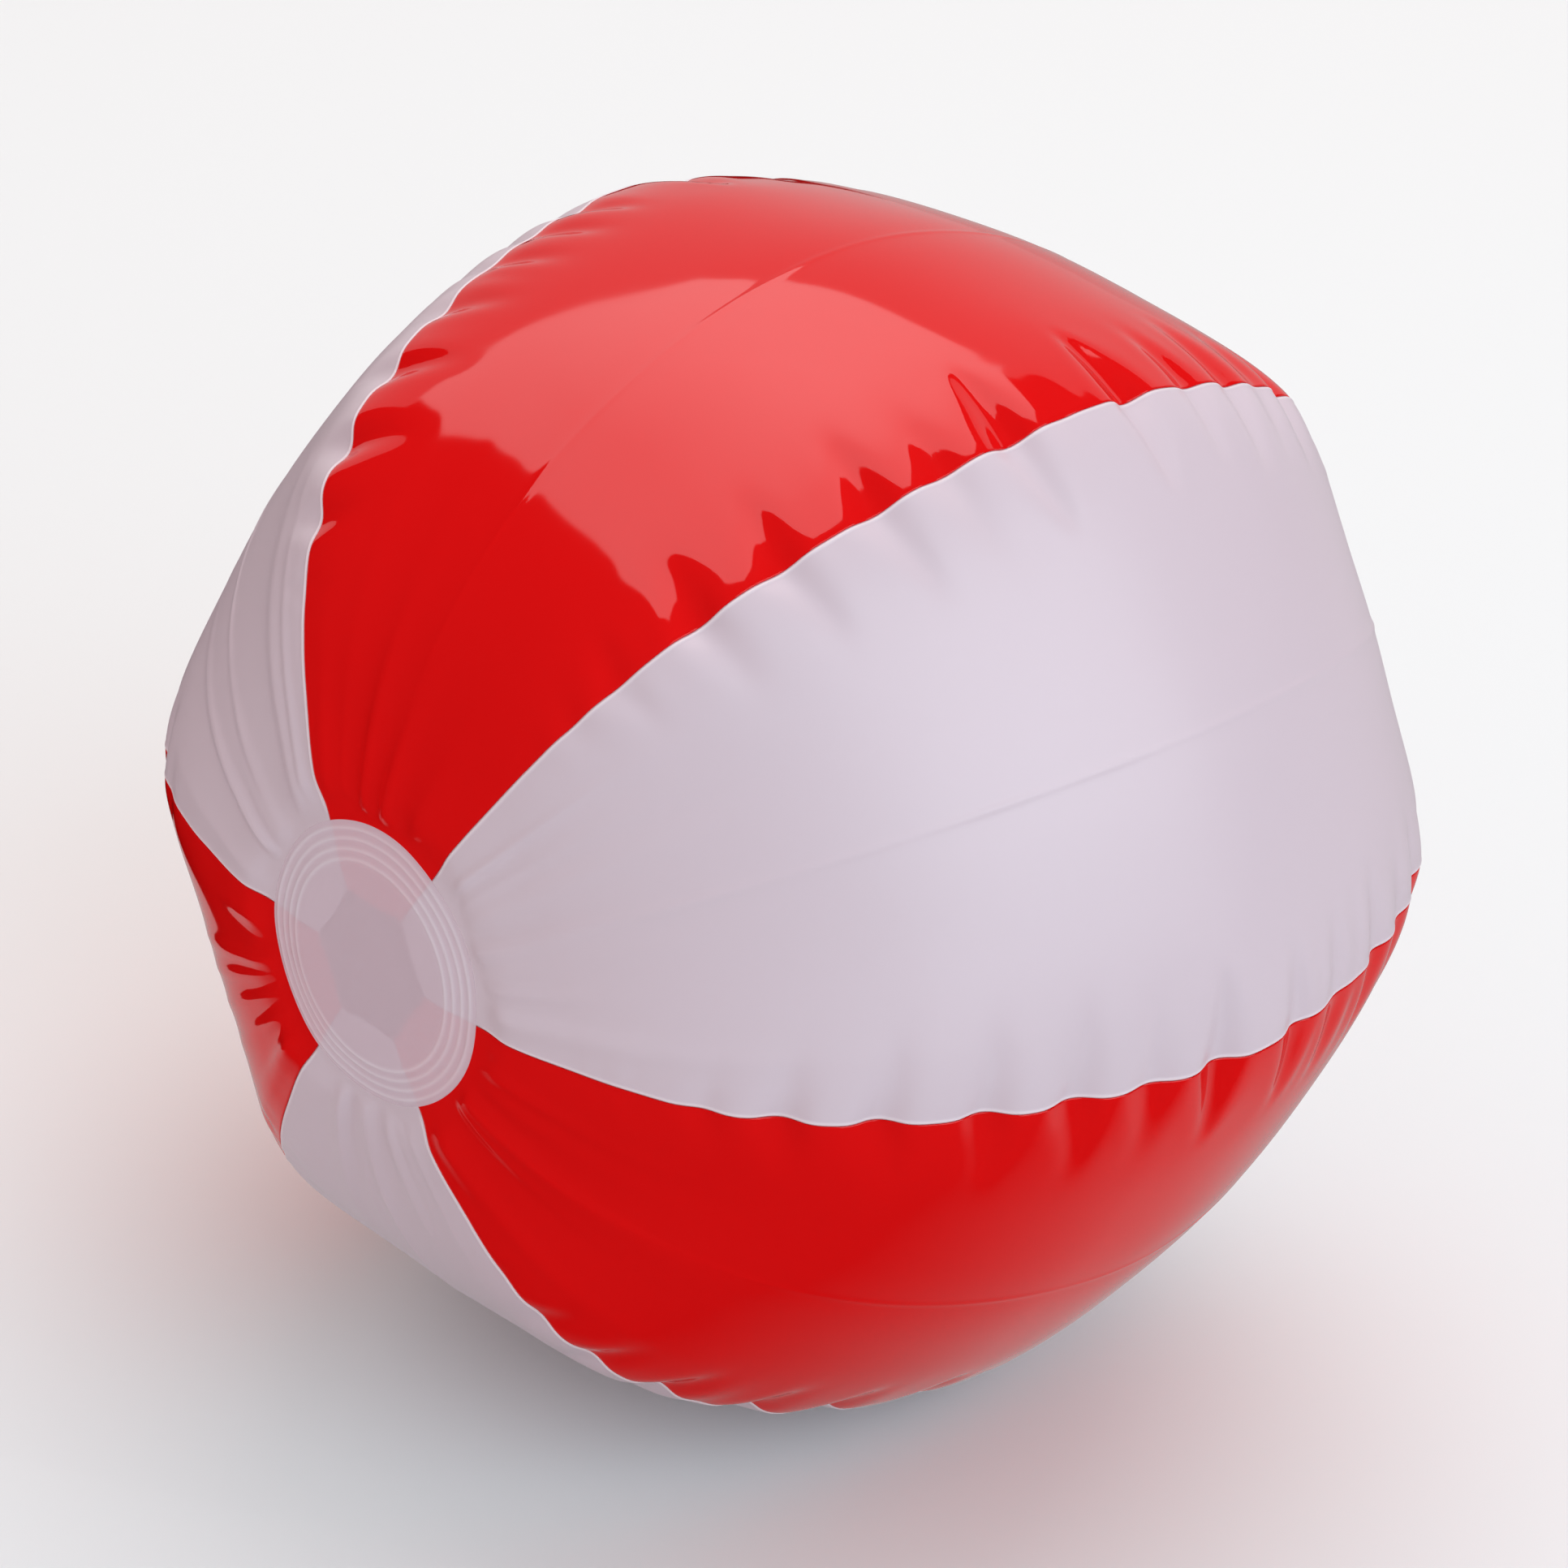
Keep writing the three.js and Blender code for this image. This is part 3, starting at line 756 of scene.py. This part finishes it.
def revolved(radius, height, segments):
    """Points and faces of a profile turned round the ball's axis. Its last point joins its first,
    unless both are on the axis. Heights may differ round the axis."""
    on_axis = radius[0] == 0
    around = np.arange(segments) * 2 * math.pi / segments
    height = np.broadcast_to(height, (len(radius), segments))
    x = radius[:, None] * np.cos(around)
    z = radius[:, None] * np.sin(around) + CENTRE_Z
    grid = np.stack([x, height, z], -1)
    rings = grid[1:-1] if on_axis else grid
    points = rings.reshape(-1, 3).tolist()
    faces = grid_faces(len(rings), segments, closed=True).tolist()
    last = (len(rings) - 1) * segments
    pairs = [(k, (k + 1) % segments) for k in range(segments)]
    if on_axis:
        for end, ring in ((0, 0), (-1, last)):
            faces += [[len(points), ring + a, ring + b] for a, b in pairs]
            points.append(grid[end, 0].tolist())
    else:
        faces += [[last + a, a, b, last + b] for a, b in pairs]
    return points, faces


def face_outwards(piece):
    shape = bmesh.new()
    shape.from_mesh(piece.data)
    bmesh.ops.recalc_face_normals(shape, faces=shape.faces)
    shape.to_mesh(piece.data)
    shape.free()


def finished(piece, body, node):
    """Faces a piece outwards, ties it to its body, and hides the CAD node it stands for."""
    face_outwards(piece)
    if body:
        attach(piece, body)
    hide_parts(node)
    return piece


# ---- Pole discs ----
DISC_SEGMENTS = 180
DISC_STEP = 0.15 * MM
DISC_INNER_STEP = 4  # the smooth inner face needs only one in four of the outer face's rings
DISC_FLAT_STEPS = 12
DISC_EDGE_STEPS = 7
DISC_RIM_THICKNESS = 0.14 * MM
DISC_TAPER = 2 * MM  # the welded rim is pressed thin over this width


def weld_rings(radius):
    """1 along the crest of each welded ring, 0 between the rings."""
    rings = DISC_RADIUS * np.array(WELD_RINGS)
    return bell(radius[:, None] - rings, WELD_RING_SPREAD).sum(1)


def make_disc(name, node, side, hole):
    """A milky disc that hugs the panels' tips. side is -1 for the front pole."""
    turn = np.linspace(-math.pi / 2, math.pi / 2, DISC_EDGE_STEPS)
    half_rim = DISC_RIM_THICKNESS / 2
    half = DISC_THICKNESS / 2
    flat = np.linspace(hole + half if hole else 0, DISC_FLAT_RADIUS, DISC_FLAT_STEPS)
    rim = np.arange(DISC_FLAT_RADIUS + DISC_STEP, DISC_RADIUS - half_rim, DISC_STEP)
    outer = np.concatenate([flat, rim])
    inner = np.concatenate([flat, rim[::DISC_INNER_STEP]])
    pressed = smooth_step(outer, DISC_RADIUS - DISC_TAPER, DISC_RADIUS)
    thickness = mix(DISC_THICKNESS, DISC_RIM_THICKNESS, pressed)
    radii = [inner, DISC_RADIUS - half_rim + half_rim * np.cos(turn), outer[::-1]]
    above = [0 * inner, half_rim + half_rim * np.sin(turn), thickness[::-1]]
    if hole:
        radii.append(hole + half - half * np.cos(turn[1:-1]))
        above.append(half - half * np.sin(turn[1:-1]))
    radius = np.concatenate(radii)
    above = np.concatenate(above)
    around = np.arange(DISC_SEGMENTS) * 2 * math.pi / DISC_SEGMENTS
    level = under_disc(radius[:, None], around) + DISC_CLEARANCE + above[:, None]
    level += (WELD_RING_HEIGHT * weld_rings(radius) * (above > 0))[:, None]
    points, faces = revolved(radius, side * level, DISC_SEGMENTS)
    piece = make_object(name, points, faces, MILKY)
    x, _, z = np.array(points).T
    # Painted highlight: the crests of the weld rings are coloured lighter
    set_painted_highlight(piece, weld_rings(np.hypot(x, z - CENTRE_Z)))
    piece.visible_shadow = False  # light passes through the disc to the panels' tips
    piece.visible_diffuse = False
    finished(piece, "ball", node)


# ---- Air valve. Levels are measured outwards from the flat face of the rear disc. ----
VALVE_SEGMENTS = 128
BAR_CORNER_STEPS = 8
FLANGE_RADII = (10.3 * MM, 14 * MM)
FLANGE_LEVELS = (-1.25 * MM, -0.65 * MM)
STEM_RADIUS = 5 * MM
STEM_RIM_RADIUS = 5.5 * MM
STEM_RIM_LENGTH = 1.2 * MM
STEM_TOP = 0.3 * MM
STEM_BOTTOM = -12.7 * MM
BORE_RADIUS = 3.15 * MM
DIAPHRAGM_RADII = (10.32 * MM, 5.9 * MM)
DIAPHRAGM_LEVELS = (-0.95 * MM, -6.6 * MM)
DIAPHRAGM_WALL = 0.5 * MM
DIAPHRAGM_STEPS = 44
DIAPHRAGM_STEEPNESS = 1.9  # about its fall over its run, halfway down
DIAPHRAGM_RIPPLES = 3
DIAPHRAGM_RIPPLE_HEIGHT = 0.16 * MM
CUFF_BOTTOM = -8 * MM
CUFF_RADIUS = 5.02 * MM
HINGE_HEIGHT = 8.5 * MM  # the stopper's fold line, above the stem's axis
HINGE_LEVEL = 0.35 * MM
HEAD_RADIUS = 6.5 * MM
HEAD_LEVELS = (0.6 * MM, 2.0 * MM)
HEAD_DISH = (4.6 * MM, 0.3 * MM)  # the hollow in the stopper's head: radius and depth
PLUG_BOTTOM = -3.9 * MM
PLUG_CLEARANCE = 0.1 * MM
PLUG_STEPS = 8
PLUG_DIMPLE = (1.6 * MM, 0.6 * MM)  # radius and depth
TAB_LEVELS = (0.925 * MM, 1.675 * MM)
STRAP_WIDTH = 4 * MM
STRAP_THICKNESS = 0.75 * MM
STRAP_WEB = 0.34 * MM  # the strap's thickness at its fold
STRAP_TAPER = (0.2 * MM, 1.3 * MM)  # it is back to the full thickness at the second distance
STRAP_TAB_END = 8.1 * MM  # of the stopper's tab that the strap runs into
STRAP_START = STEM_RIM_RADIUS - 0.2 * MM
STRAP_OVERLAP = 0.8 * MM  # straight parts at both of its ends
STRAP_TOP = 0.05 * MM
STRAP_CURVE_START = 7.4 * MM
STRAP_CURVE_END = STRAP_TAB_END - 0.15 * MM
STRAP_FOLD_SLACK = 0.15 * MM  # how far past the hinge line the web lies
STRAP_CURVE_STEPS = 11
STRAP_SECTION_POINTS = 32
STRAP_SQUARENESS = (0.3, 0.55)  # of its section, across and through: 1 is an ellipse
PULL_TAB_WIDTH = 5 * MM
PULL_TAB_END = 9.6 * MM
PULL_TAB_ROUNDING = 2 * MM
GRIP_RIBS = 3
GRIP_RIB_START = 0.75 * MM  # in from the tab's end
GRIP_RIB_SPACING = 0.85 * MM
GRIP_RIB_LENGTH = PULL_TAB_WIDTH - 1.4 * MM
GRIP_RIB_THICKNESS = 0.4 * MM
GRIP_RIB_LEVELS = (TAB_LEVELS[1] - 0.1 * MM, TAB_LEVELS[1] + 0.22 * MM)
GRIP_RIB_ROUNDING = 0.05 * MM
FLAP_RADIUS = 4.25 * MM
FLAP_LEVELS = (-13.5 * MM, -13.0 * MM)
FLAP_ROUNDING = 0.15 * MM
FLAP_EAR_END = 5.0 * MM
FLAP_EAR_START = 3.4 * MM
FLAP_EAR_WIDTH = 2.6 * MM
FLAP_EAR_ROUNDING = 0.8 * MM
MOULDING_VOXEL = 0.09  # millimetres
MOULDING_SMOOTHING = 4  # rounds


def turned(outline):
    """A turned solid of the valve. The outline's points are radius, level and fillet radius."""
    profile = filleted(outline)
    return revolved(profile[:, 0], (DISC_FACE + profile[:, 1])[:, None], VALVE_SEGMENTS)


def lathe(name, outline, body, node):
    piece = make_object(name, *turned(outline), CLEAR)
    return finished(piece, body, node)


def box_bar(width, from_z, to_z, levels, end_radius):
    """Points and faces of a flat bar with its far end rounded, as a closed solid."""
    side = math.copysign(1, to_z - from_z)
    half = width / 2
    corners = [(half, from_z)]
    for step in range(BAR_CORNER_STEPS + 1):
        turn = math.pi / 2 * step / BAR_CORNER_STEPS
        x = half - end_radius * (1 - math.cos(turn))
        corners.append((x, to_z - side * end_radius * (1 - math.sin(turn))))
    corners += [(-x, z) for x, z in reversed(corners)]
    count = len(corners)
    points = [(x, DISC_FACE + level, z + CENTRE_Z) for level in levels for x, z in corners]
    faces = [list(range(count)), list(range(2 * count - 1, count - 1, -1))]
    faces += [[k, count + k, count + (k + 1) % count, (k + 1) % count] for k in range(count)]
    return points, faces


def moulded(name, solids, node):
    """Several overlapping solids fused into one moulding with soft inner corners."""
    points, faces = [], []
    for solid_points, solid_faces in solids:
        faces += [[index + len(points) for index in face] for face in solid_faces]
        points += solid_points
    piece = make_object(name, points, faces, CLEAR)
    face_outwards(piece)
    piece.data.transform(Matrix.Scale(1 / MM, 4))
    remesh = piece.modifiers.new("fuse", "REMESH")
    remesh.mode = "VOXEL"
    remesh.voxel_size = MOULDING_VOXEL
    remesh.use_smooth_shade = True
    smooth = piece.modifiers.new("soften", "SMOOTH")
    smooth.iterations = MOULDING_SMOOTHING
    evaluated = piece.evaluated_get(bpy.context.evaluated_depsgraph_get())
    mesh = bpy.data.meshes.new_from_object(evaluated)
    piece.modifiers.clear()
    piece.data = mesh
    mesh.transform(Matrix.Scale(MM, 4))
    mesh.materials.clear()
    mesh.materials.append(CLEAR)
    mesh.polygons.foreach_set("use_smooth", [True] * len(mesh.polygons))
    finished(piece, node, node)


def make_flange():
    inner, outer = FLANGE_RADII
    low, high = FLANGE_LEVELS
    outline = [
        (inner, low, 0.15 * MM),
        (outer, low, 0.2 * MM),
        (outer, high, 0.1 * MM),
        (inner, high, 0.1 * MM),
    ]
    lathe("moulded_valve_flange", outline, "ball", "valve_flange")


def make_diaphragm():
    """The thin cone from the flange down to the stem, with a cuff that grips the stem."""
    upper, lower = [], []
    for step in range(DIAPHRAGM_STEPS + 1):
        along = step / DIAPHRAGM_STEPS
        middle = math.sin(math.pi * along)
        level = mix(*DIAPHRAGM_LEVELS, (1 - math.cos(math.pi * along)) / 2)
        wave = math.sin(2 * math.pi * DIAPHRAGM_RIPPLES * along)
        ripple = DIAPHRAGM_RIPPLE_HEIGHT * middle**2 * wave
        radius = mix(*DIAPHRAGM_RADII, along) + ripple
        half_wall = DIAPHRAGM_WALL / 2 * math.hypot(1, middle * DIAPHRAGM_STEEPNESS)
        upper.append((radius, level + half_wall, 0))
        lower.append((radius, level - half_wall, 0))
    cuff = [
        (CUFF_RADIUS, upper[-1][1], 0.2 * MM),
        (CUFF_RADIUS, CUFF_BOTTOM, 0.2 * MM),
        (DIAPHRAGM_RADII[1], CUFF_BOTTOM, 0.25 * MM),
    ]
    piece = lathe("moulded_diaphragm", upper + cuff + lower[::-1], None, "valve_diaphragm")
    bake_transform(piece)


def make_stem():
    rim_bottom = STEM_TOP - STEM_RIM_LENGTH
    outline = [
        (BORE_RADIUS, STEM_BOTTOM, 0.25 * MM),
        (STEM_RADIUS, STEM_BOTTOM, 0.45 * MM),
        (STEM_RADIUS, rim_bottom - 0.5 * MM, 0.3 * MM),
        (STEM_RIM_RADIUS, rim_bottom, 0.3 * MM),
        (STEM_RIM_RADIUS, STEM_TOP, 0.35 * MM),
        (BORE_RADIUS, STEM_TOP, 0.3 * MM),
    ]
    lathe("moulded_stem", outline, "valve_stem", "valve_stem")


def plug_radius(level):
    """The plug's far side has to pass the bore's mouth as it swings out."""
    reach = HINGE_HEIGHT + BORE_RADIUS
    return math.sqrt(reach**2 - (HINGE_LEVEL - level) ** 2) - HINGE_HEIGHT - PLUG_CLEARANCE


def make_stopper():
    """Head, plug and two tabs in one moulding."""
    low, high = HEAD_LEVELS
    dish_radius, dish_depth = HEAD_DISH
    dimple_radius, dimple_depth = PLUG_DIMPLE
    outline = [
        (0, PLUG_BOTTOM + dimple_depth, 0),
        (dimple_radius, PLUG_BOTTOM + dimple_depth, 0.3 * MM),
        (dimple_radius + 0.4 * MM, PLUG_BOTTOM, 0.2 * MM),
    ]
    for step in range(PLUG_STEPS + 1):
        level = mix(PLUG_BOTTOM, low, step / PLUG_STEPS)
        outline.append((plug_radius(level), level, 0.4 * MM if step == 0 else 0))
    outline += [
        (HEAD_RADIUS, low, 0.45 * MM),
        (HEAD_RADIUS, high, 0.5 * MM),
        (dish_radius + 0.4 * MM, high, 0.3 * MM),
        (dish_radius - 0.4 * MM, high - dish_depth, 0.4 * MM),
        (0, high - dish_depth, 0),
    ]
    inside = HEAD_RADIUS - STRAP_THICKNESS
    solids = [
        turned(outline),
        box_bar(STRAP_WIDTH, inside, STRAP_TAB_END, TAB_LEVELS, 0.3 * MM),
        box_bar(PULL_TAB_WIDTH, -inside, -PULL_TAB_END, TAB_LEVELS, PULL_TAB_ROUNDING),
    ]
    for rib in range(GRIP_RIBS):
        far = -PULL_TAB_END + (GRIP_RIB_START + rib * GRIP_RIB_SPACING)
        near = far + GRIP_RIB_THICKNESS
        solids.append(box_bar(GRIP_RIB_LENGTH, near, far, GRIP_RIB_LEVELS, GRIP_RIB_ROUNDING))
    moulded("moulded_stopper", solids, "stopper")


def make_strap():
    """The band from the stem's rim to the stopper, folded back on itself at a thin web."""
    low = STRAP_TOP - STRAP_THICKNESS / 2
    high = sum(TAB_LEVELS) / 2
    fold = np.array([HINGE_HEIGHT + STRAP_FOLD_SLACK, HINGE_LEVEL])
    leaving = np.array([(STRAP_CURVE_START, low), (HINGE_HEIGHT, low)])
    arriving = np.array([(HINGE_HEIGHT, high), (STRAP_CURVE_END, high)])
    path = np.concatenate([
        [(STRAP_START, low), (STRAP_START + STRAP_OVERLAP, low)],
        bezier(*leaving, fold, STRAP_CURVE_STEPS),
        bezier(fold, *arriving, STRAP_CURVE_STEPS)[1:],
        [(STRAP_TAB_END - STRAP_OVERLAP, high)],
    ])
    from_fold = np.hypot(*(path - fold).T)
    thickness = mix(STRAP_WEB, STRAP_THICKNESS, smooth_step(from_fold, *STRAP_TAPER))
    tangent = np.gradient(path, axis=0)
    tangent /= np.linalg.norm(tangent, axis=1)[:, None]
    normal = np.stack([-tangent[:, 1], tangent[:, 0]], 1)
    turn = np.linspace(0, 2 * math.pi, STRAP_SECTION_POINTS + 1)[:-1]
    across = signed_power(np.cos(turn), STRAP_SQUARENESS[0]) * STRAP_WIDTH / 2
    through = signed_power(np.sin(turn), STRAP_SQUARENESS[1])
    reach = through[None, :, None] * thickness[:, None, None] / 2
    place = path[:, None] + normal[:, None] * reach
    across = np.broadcast_to(across, place.shape[:2])
    grid = np.stack([across, DISC_FACE + place[..., 1], CENTRE_Z + place[..., 0]], -1)
    rows, columns = across.shape
    faces = grid_faces(rows, columns, closed=True).tolist()
    faces += [list(range(columns)), list(range((rows - 1) * columns, rows * columns))]
    piece = make_object("moulded_strap", grid.reshape(-1, 3).tolist(), faces, CLEAR)
    finished(piece, None, "stopper_strap")
    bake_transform(piece)


def make_flap():
    low, high = FLAP_LEVELS
    edge = [(FLAP_RADIUS, level, FLAP_ROUNDING) for level in FLAP_LEVELS]
    plate = [(0, low, 0), *edge, (0, high, 0)]
    ear = box_bar(FLAP_EAR_WIDTH, FLAP_EAR_START, FLAP_EAR_END, FLAP_LEVELS, FLAP_EAR_ROUNDING)
    moulded("moulded_flap", [turned(plate), ear], "check_flap")


# ---- Camera ----
CAMERA_AZIMUTH = math.radians(41.97)
CAMERA_ELEVATION = math.radians(28.57)
CAMERA_ROLL = math.radians(5.45)
CAMERA_DISTANCE = 9.24 * BALL_RADIUS
CAMERA_SHIFT = (-0.00626, 0.00352)
SENSOR = 36.0  # millimetres
BALL_RADIUS_IN_FRAME = 0.3834  # of the frame's width, at the ball's centre


def make_camera():
    data = bpy.data.cameras.new("camera")
    data.sensor_width = SENSOR
    data.lens = SENSOR * BALL_RADIUS_IN_FRAME * CAMERA_DISTANCE / BALL_RADIUS
    data.shift_x, data.shift_y = CAMERA_SHIFT
    camera = added("camera", data)
    back = direction(CAMERA_AZIMUTH, CAMERA_ELEVATION)
    level = Vector((math.cos(CAMERA_AZIMUTH), math.sin(CAMERA_AZIMUTH), 0))
    right = Matrix.Rotation(CAMERA_ROLL, 3, back) @ level
    axes = Matrix((right, back.cross(right), back)).transposed()
    place = BALL_CENTRE + back * CAMERA_DISTANCE
    camera.matrix_world = Matrix.Translation(place) @ axes.to_4x4()
    bpy.context.scene.camera = camera


def direction(azimuth, elevation):
    """Azimuth 0 is -Y and 90 degrees is +X."""
    level = math.cos(elevation)
    return Vector((math.sin(azimuth) * level, -math.cos(azimuth) * level, math.sin(elevation)))


# ---- Studio ----
# The cards and the softbox show in reflections only, and the fill lights only light.
AMBIENT_STRENGTH = 0.765
AMBIENT_COLOUR = (1.0, 0.93, 0.915)
OCTAGON_PLACE = Vector((-0.754, 0.255, 2.603))  # from the ball's centre
OCTAGON_FACING = Vector((0.633, -0.112, -0.766))
OCTAGON_ACROSS = Vector((-0.1736, -0.9848, 0))
OCTAGON_APOTHEM = 1.57
OCTAGON_RADIANCE = (3.0, 2.2)  # at its hot spot and far from it
OCTAGON_HOT_SPOT = (-0.35, -0.55, 0)
OCTAGON_FALLOFF = (0.15, 1.05)  # the distances from the hot spot that count as near and far
FLOOR_CARD_RADIANCE = 0.52
FLOOR_CARD_EDGE = (-0.135, -0.04)  # the card fades in between these, along its Y
FLOOR_CARD_SIZE = 3.0
FLOOR_CARD_LEFT = -0.23
FLOOR_CARD_TURN = math.radians(30)
FLOOR_RADIUS = 9.0
FLOOR_CORNERS = 96
FLOOR_ALBEDO = 0.80
FLOOR_ROUGHNESS = 0.7
FLOOR_SPECULAR = 0.2


def lamp(name, place, size, radiance, colour=(1, 1, 1), lights=True, mirrored=True):
    """A rectangular light that faces the ball. place is measured from the ball's centre, and
    radiance is how bright the light's face looks."""
    data = bpy.data.lights.new(name, "AREA")
    data.shape = "RECTANGLE"
    data.size, data.size_y = size
    data.energy = radiance * math.pi * size[0] * size[1]
    data.color = colour
    light = added(name, data)
    aim = (-place).to_track_quat("-Z", "Y").to_matrix()
    light.matrix_world = Matrix.Translation(BALL_CENTRE + place) @ aim.to_4x4()
    light.visible_camera = False
    light.visible_diffuse = lights
    light.visible_glossy = mirrored


def glow(name, strength_range, position_range, hot_spot=None):
    """Emission that changes over a card, by distance from its hot spot or else along its Y."""
    material, tree = new_material(name)
    tree.nodes.clear()
    place = tree.nodes.new("ShaderNodeTexCoord").outputs["Object"]
    if hot_spot:
        distance = tree.nodes.new("ShaderNodeVectorMath")
        distance.operation = "DISTANCE"
        position = filled(tree, distance, {0: place, 1: hot_spot}).outputs["Value"]
    else:
        axes = tree.nodes.new("ShaderNodeSeparateXYZ")
        position = filled(tree, axes, {"Vector": place}).outputs["Y"]
    strength = ranged(tree, position, *strength_range, *position_range)
    emission = filled(tree, tree.nodes.new("ShaderNodeEmission"), {"Strength": strength})
    output = tree.nodes.new("ShaderNodeOutputMaterial")
    filled(tree, output, {"Surface": emission.outputs["Emission"]})
    return material


def flat_shape(name, outline, material):
    points = [(x, y, 0) for x, y in outline]
    return make_object(name, points, [list(range(len(points)))], material, smooth=False)


def mirrored_card(name, outline, material, matrix):
    """A flat glowing shape that only shows in reflections."""
    card = flat_shape(name, outline, material)
    card.matrix_world = matrix
    for ray in ("camera", "diffuse", "transmission", "volume_scatter", "shadow"):
        setattr(card, "visible_" + ray, False)


def polygon(radius, corners, offset=0.0):
    """A regular polygon's corners. offset turns it, in steps from corner to corner."""
    turns = [2 * math.pi * (k + offset) / corners for k in range(corners)]
    return [(radius * math.cos(turn), radius * math.sin(turn)) for turn in turns]


def make_world():
    world = bpy.data.worlds.new("studio")
    bpy.context.scene.world = world
    world.use_nodes = True
    tree = world.node_tree
    light = {"Strength": AMBIENT_STRENGTH, "Color": (*AMBIENT_COLOUR, 1)}
    filled(tree, tree.nodes["Background"], light)
    world.cycles_visibility.glossy = False  # the studio's far walls are dark in reflections


def make_octagon():
    outline = polygon(OCTAGON_APOTHEM / math.cos(math.pi / 8), 8, 0.5)
    facing = OCTAGON_FACING.normalized()
    axes = Matrix((OCTAGON_ACROSS, OCTAGON_ACROSS.cross(facing), facing)).transposed()
    place = Matrix.Translation(BALL_CENTRE + OCTAGON_PLACE) @ axes.to_4x4()
    material = glow("octagon_glow", OCTAGON_RADIANCE, OCTAGON_FALLOFF, OCTAGON_HOT_SPOT)
    mirrored_card("octagon", outline, material, place)


def make_floor_card():
    """The bright floor behind the ball, which the low red panels mirror."""
    left, far = FLOOR_CARD_LEFT, FLOOR_CARD_SIZE
    outline = [(left, FLOOR_CARD_EDGE[0]), (far, FLOOR_CARD_EDGE[0]), (far, far), (left, far)]
    material = glow("floor_glow", (0, FLOOR_CARD_RADIANCE), FLOOR_CARD_EDGE)
    mirrored_card("floor_reflection", outline, material, Matrix.Rotation(FLOOR_CARD_TURN, 4, "Z"))


def make_lamps():
    def towards(azimuth, elevation, distance):
        return direction(math.radians(azimuth), math.radians(elevation)) * distance

    lamp("backdrop", towards(-134, 20, 4.0), (7.8, 4.6), 0.64, lights=False)
    lamp("side_box", towards(98, 27, 2.4), (2.4, 1.6), 2.3, (0.88, 0.96, 1.0), lights=False)
    lamp("side_fill", towards(80, 32, 2.6), (2.6, 2.4), 1.6, (0.51, 0.86, 1.0), mirrored=False)
    lamp("top_fill", Vector((-0.5, 0.9, 2.4)), (2.4, 2.4), 1.5, mirrored=False)


def make_floor():
    material, tree = new_material("floor")
    filled(tree, tree.nodes["Principled BSDF"], {
        "Base Color": (FLOOR_ALBEDO, FLOOR_ALBEDO, FLOOR_ALBEDO, 1),
        "Roughness": FLOOR_ROUGHNESS,
        "Specular IOR Level": FLOOR_SPECULAR,
    })
    floor = flat_shape("floor", polygon(FLOOR_RADIUS, FLOOR_CORNERS), material)
    floor.visible_glossy = False


make_camera()
make_world()
make_octagon()
make_floor_card()
make_lamps()
make_floor()
bpy.context.scene.view_settings.view_transform = "Standard"

film, grid = inflate()
for panel, name in enumerate(PANELS):
    make_panel(grid, film, panel, name)
make_disc("front_disc", "front_pole_disc", -1, 0)
make_disc("rear_disc", "rear_pole_disc", 1, DISC_HOLE_RADIUS)
make_flange()
make_diaphragm()
make_stem()
make_stopper()
make_strap()
make_flap()
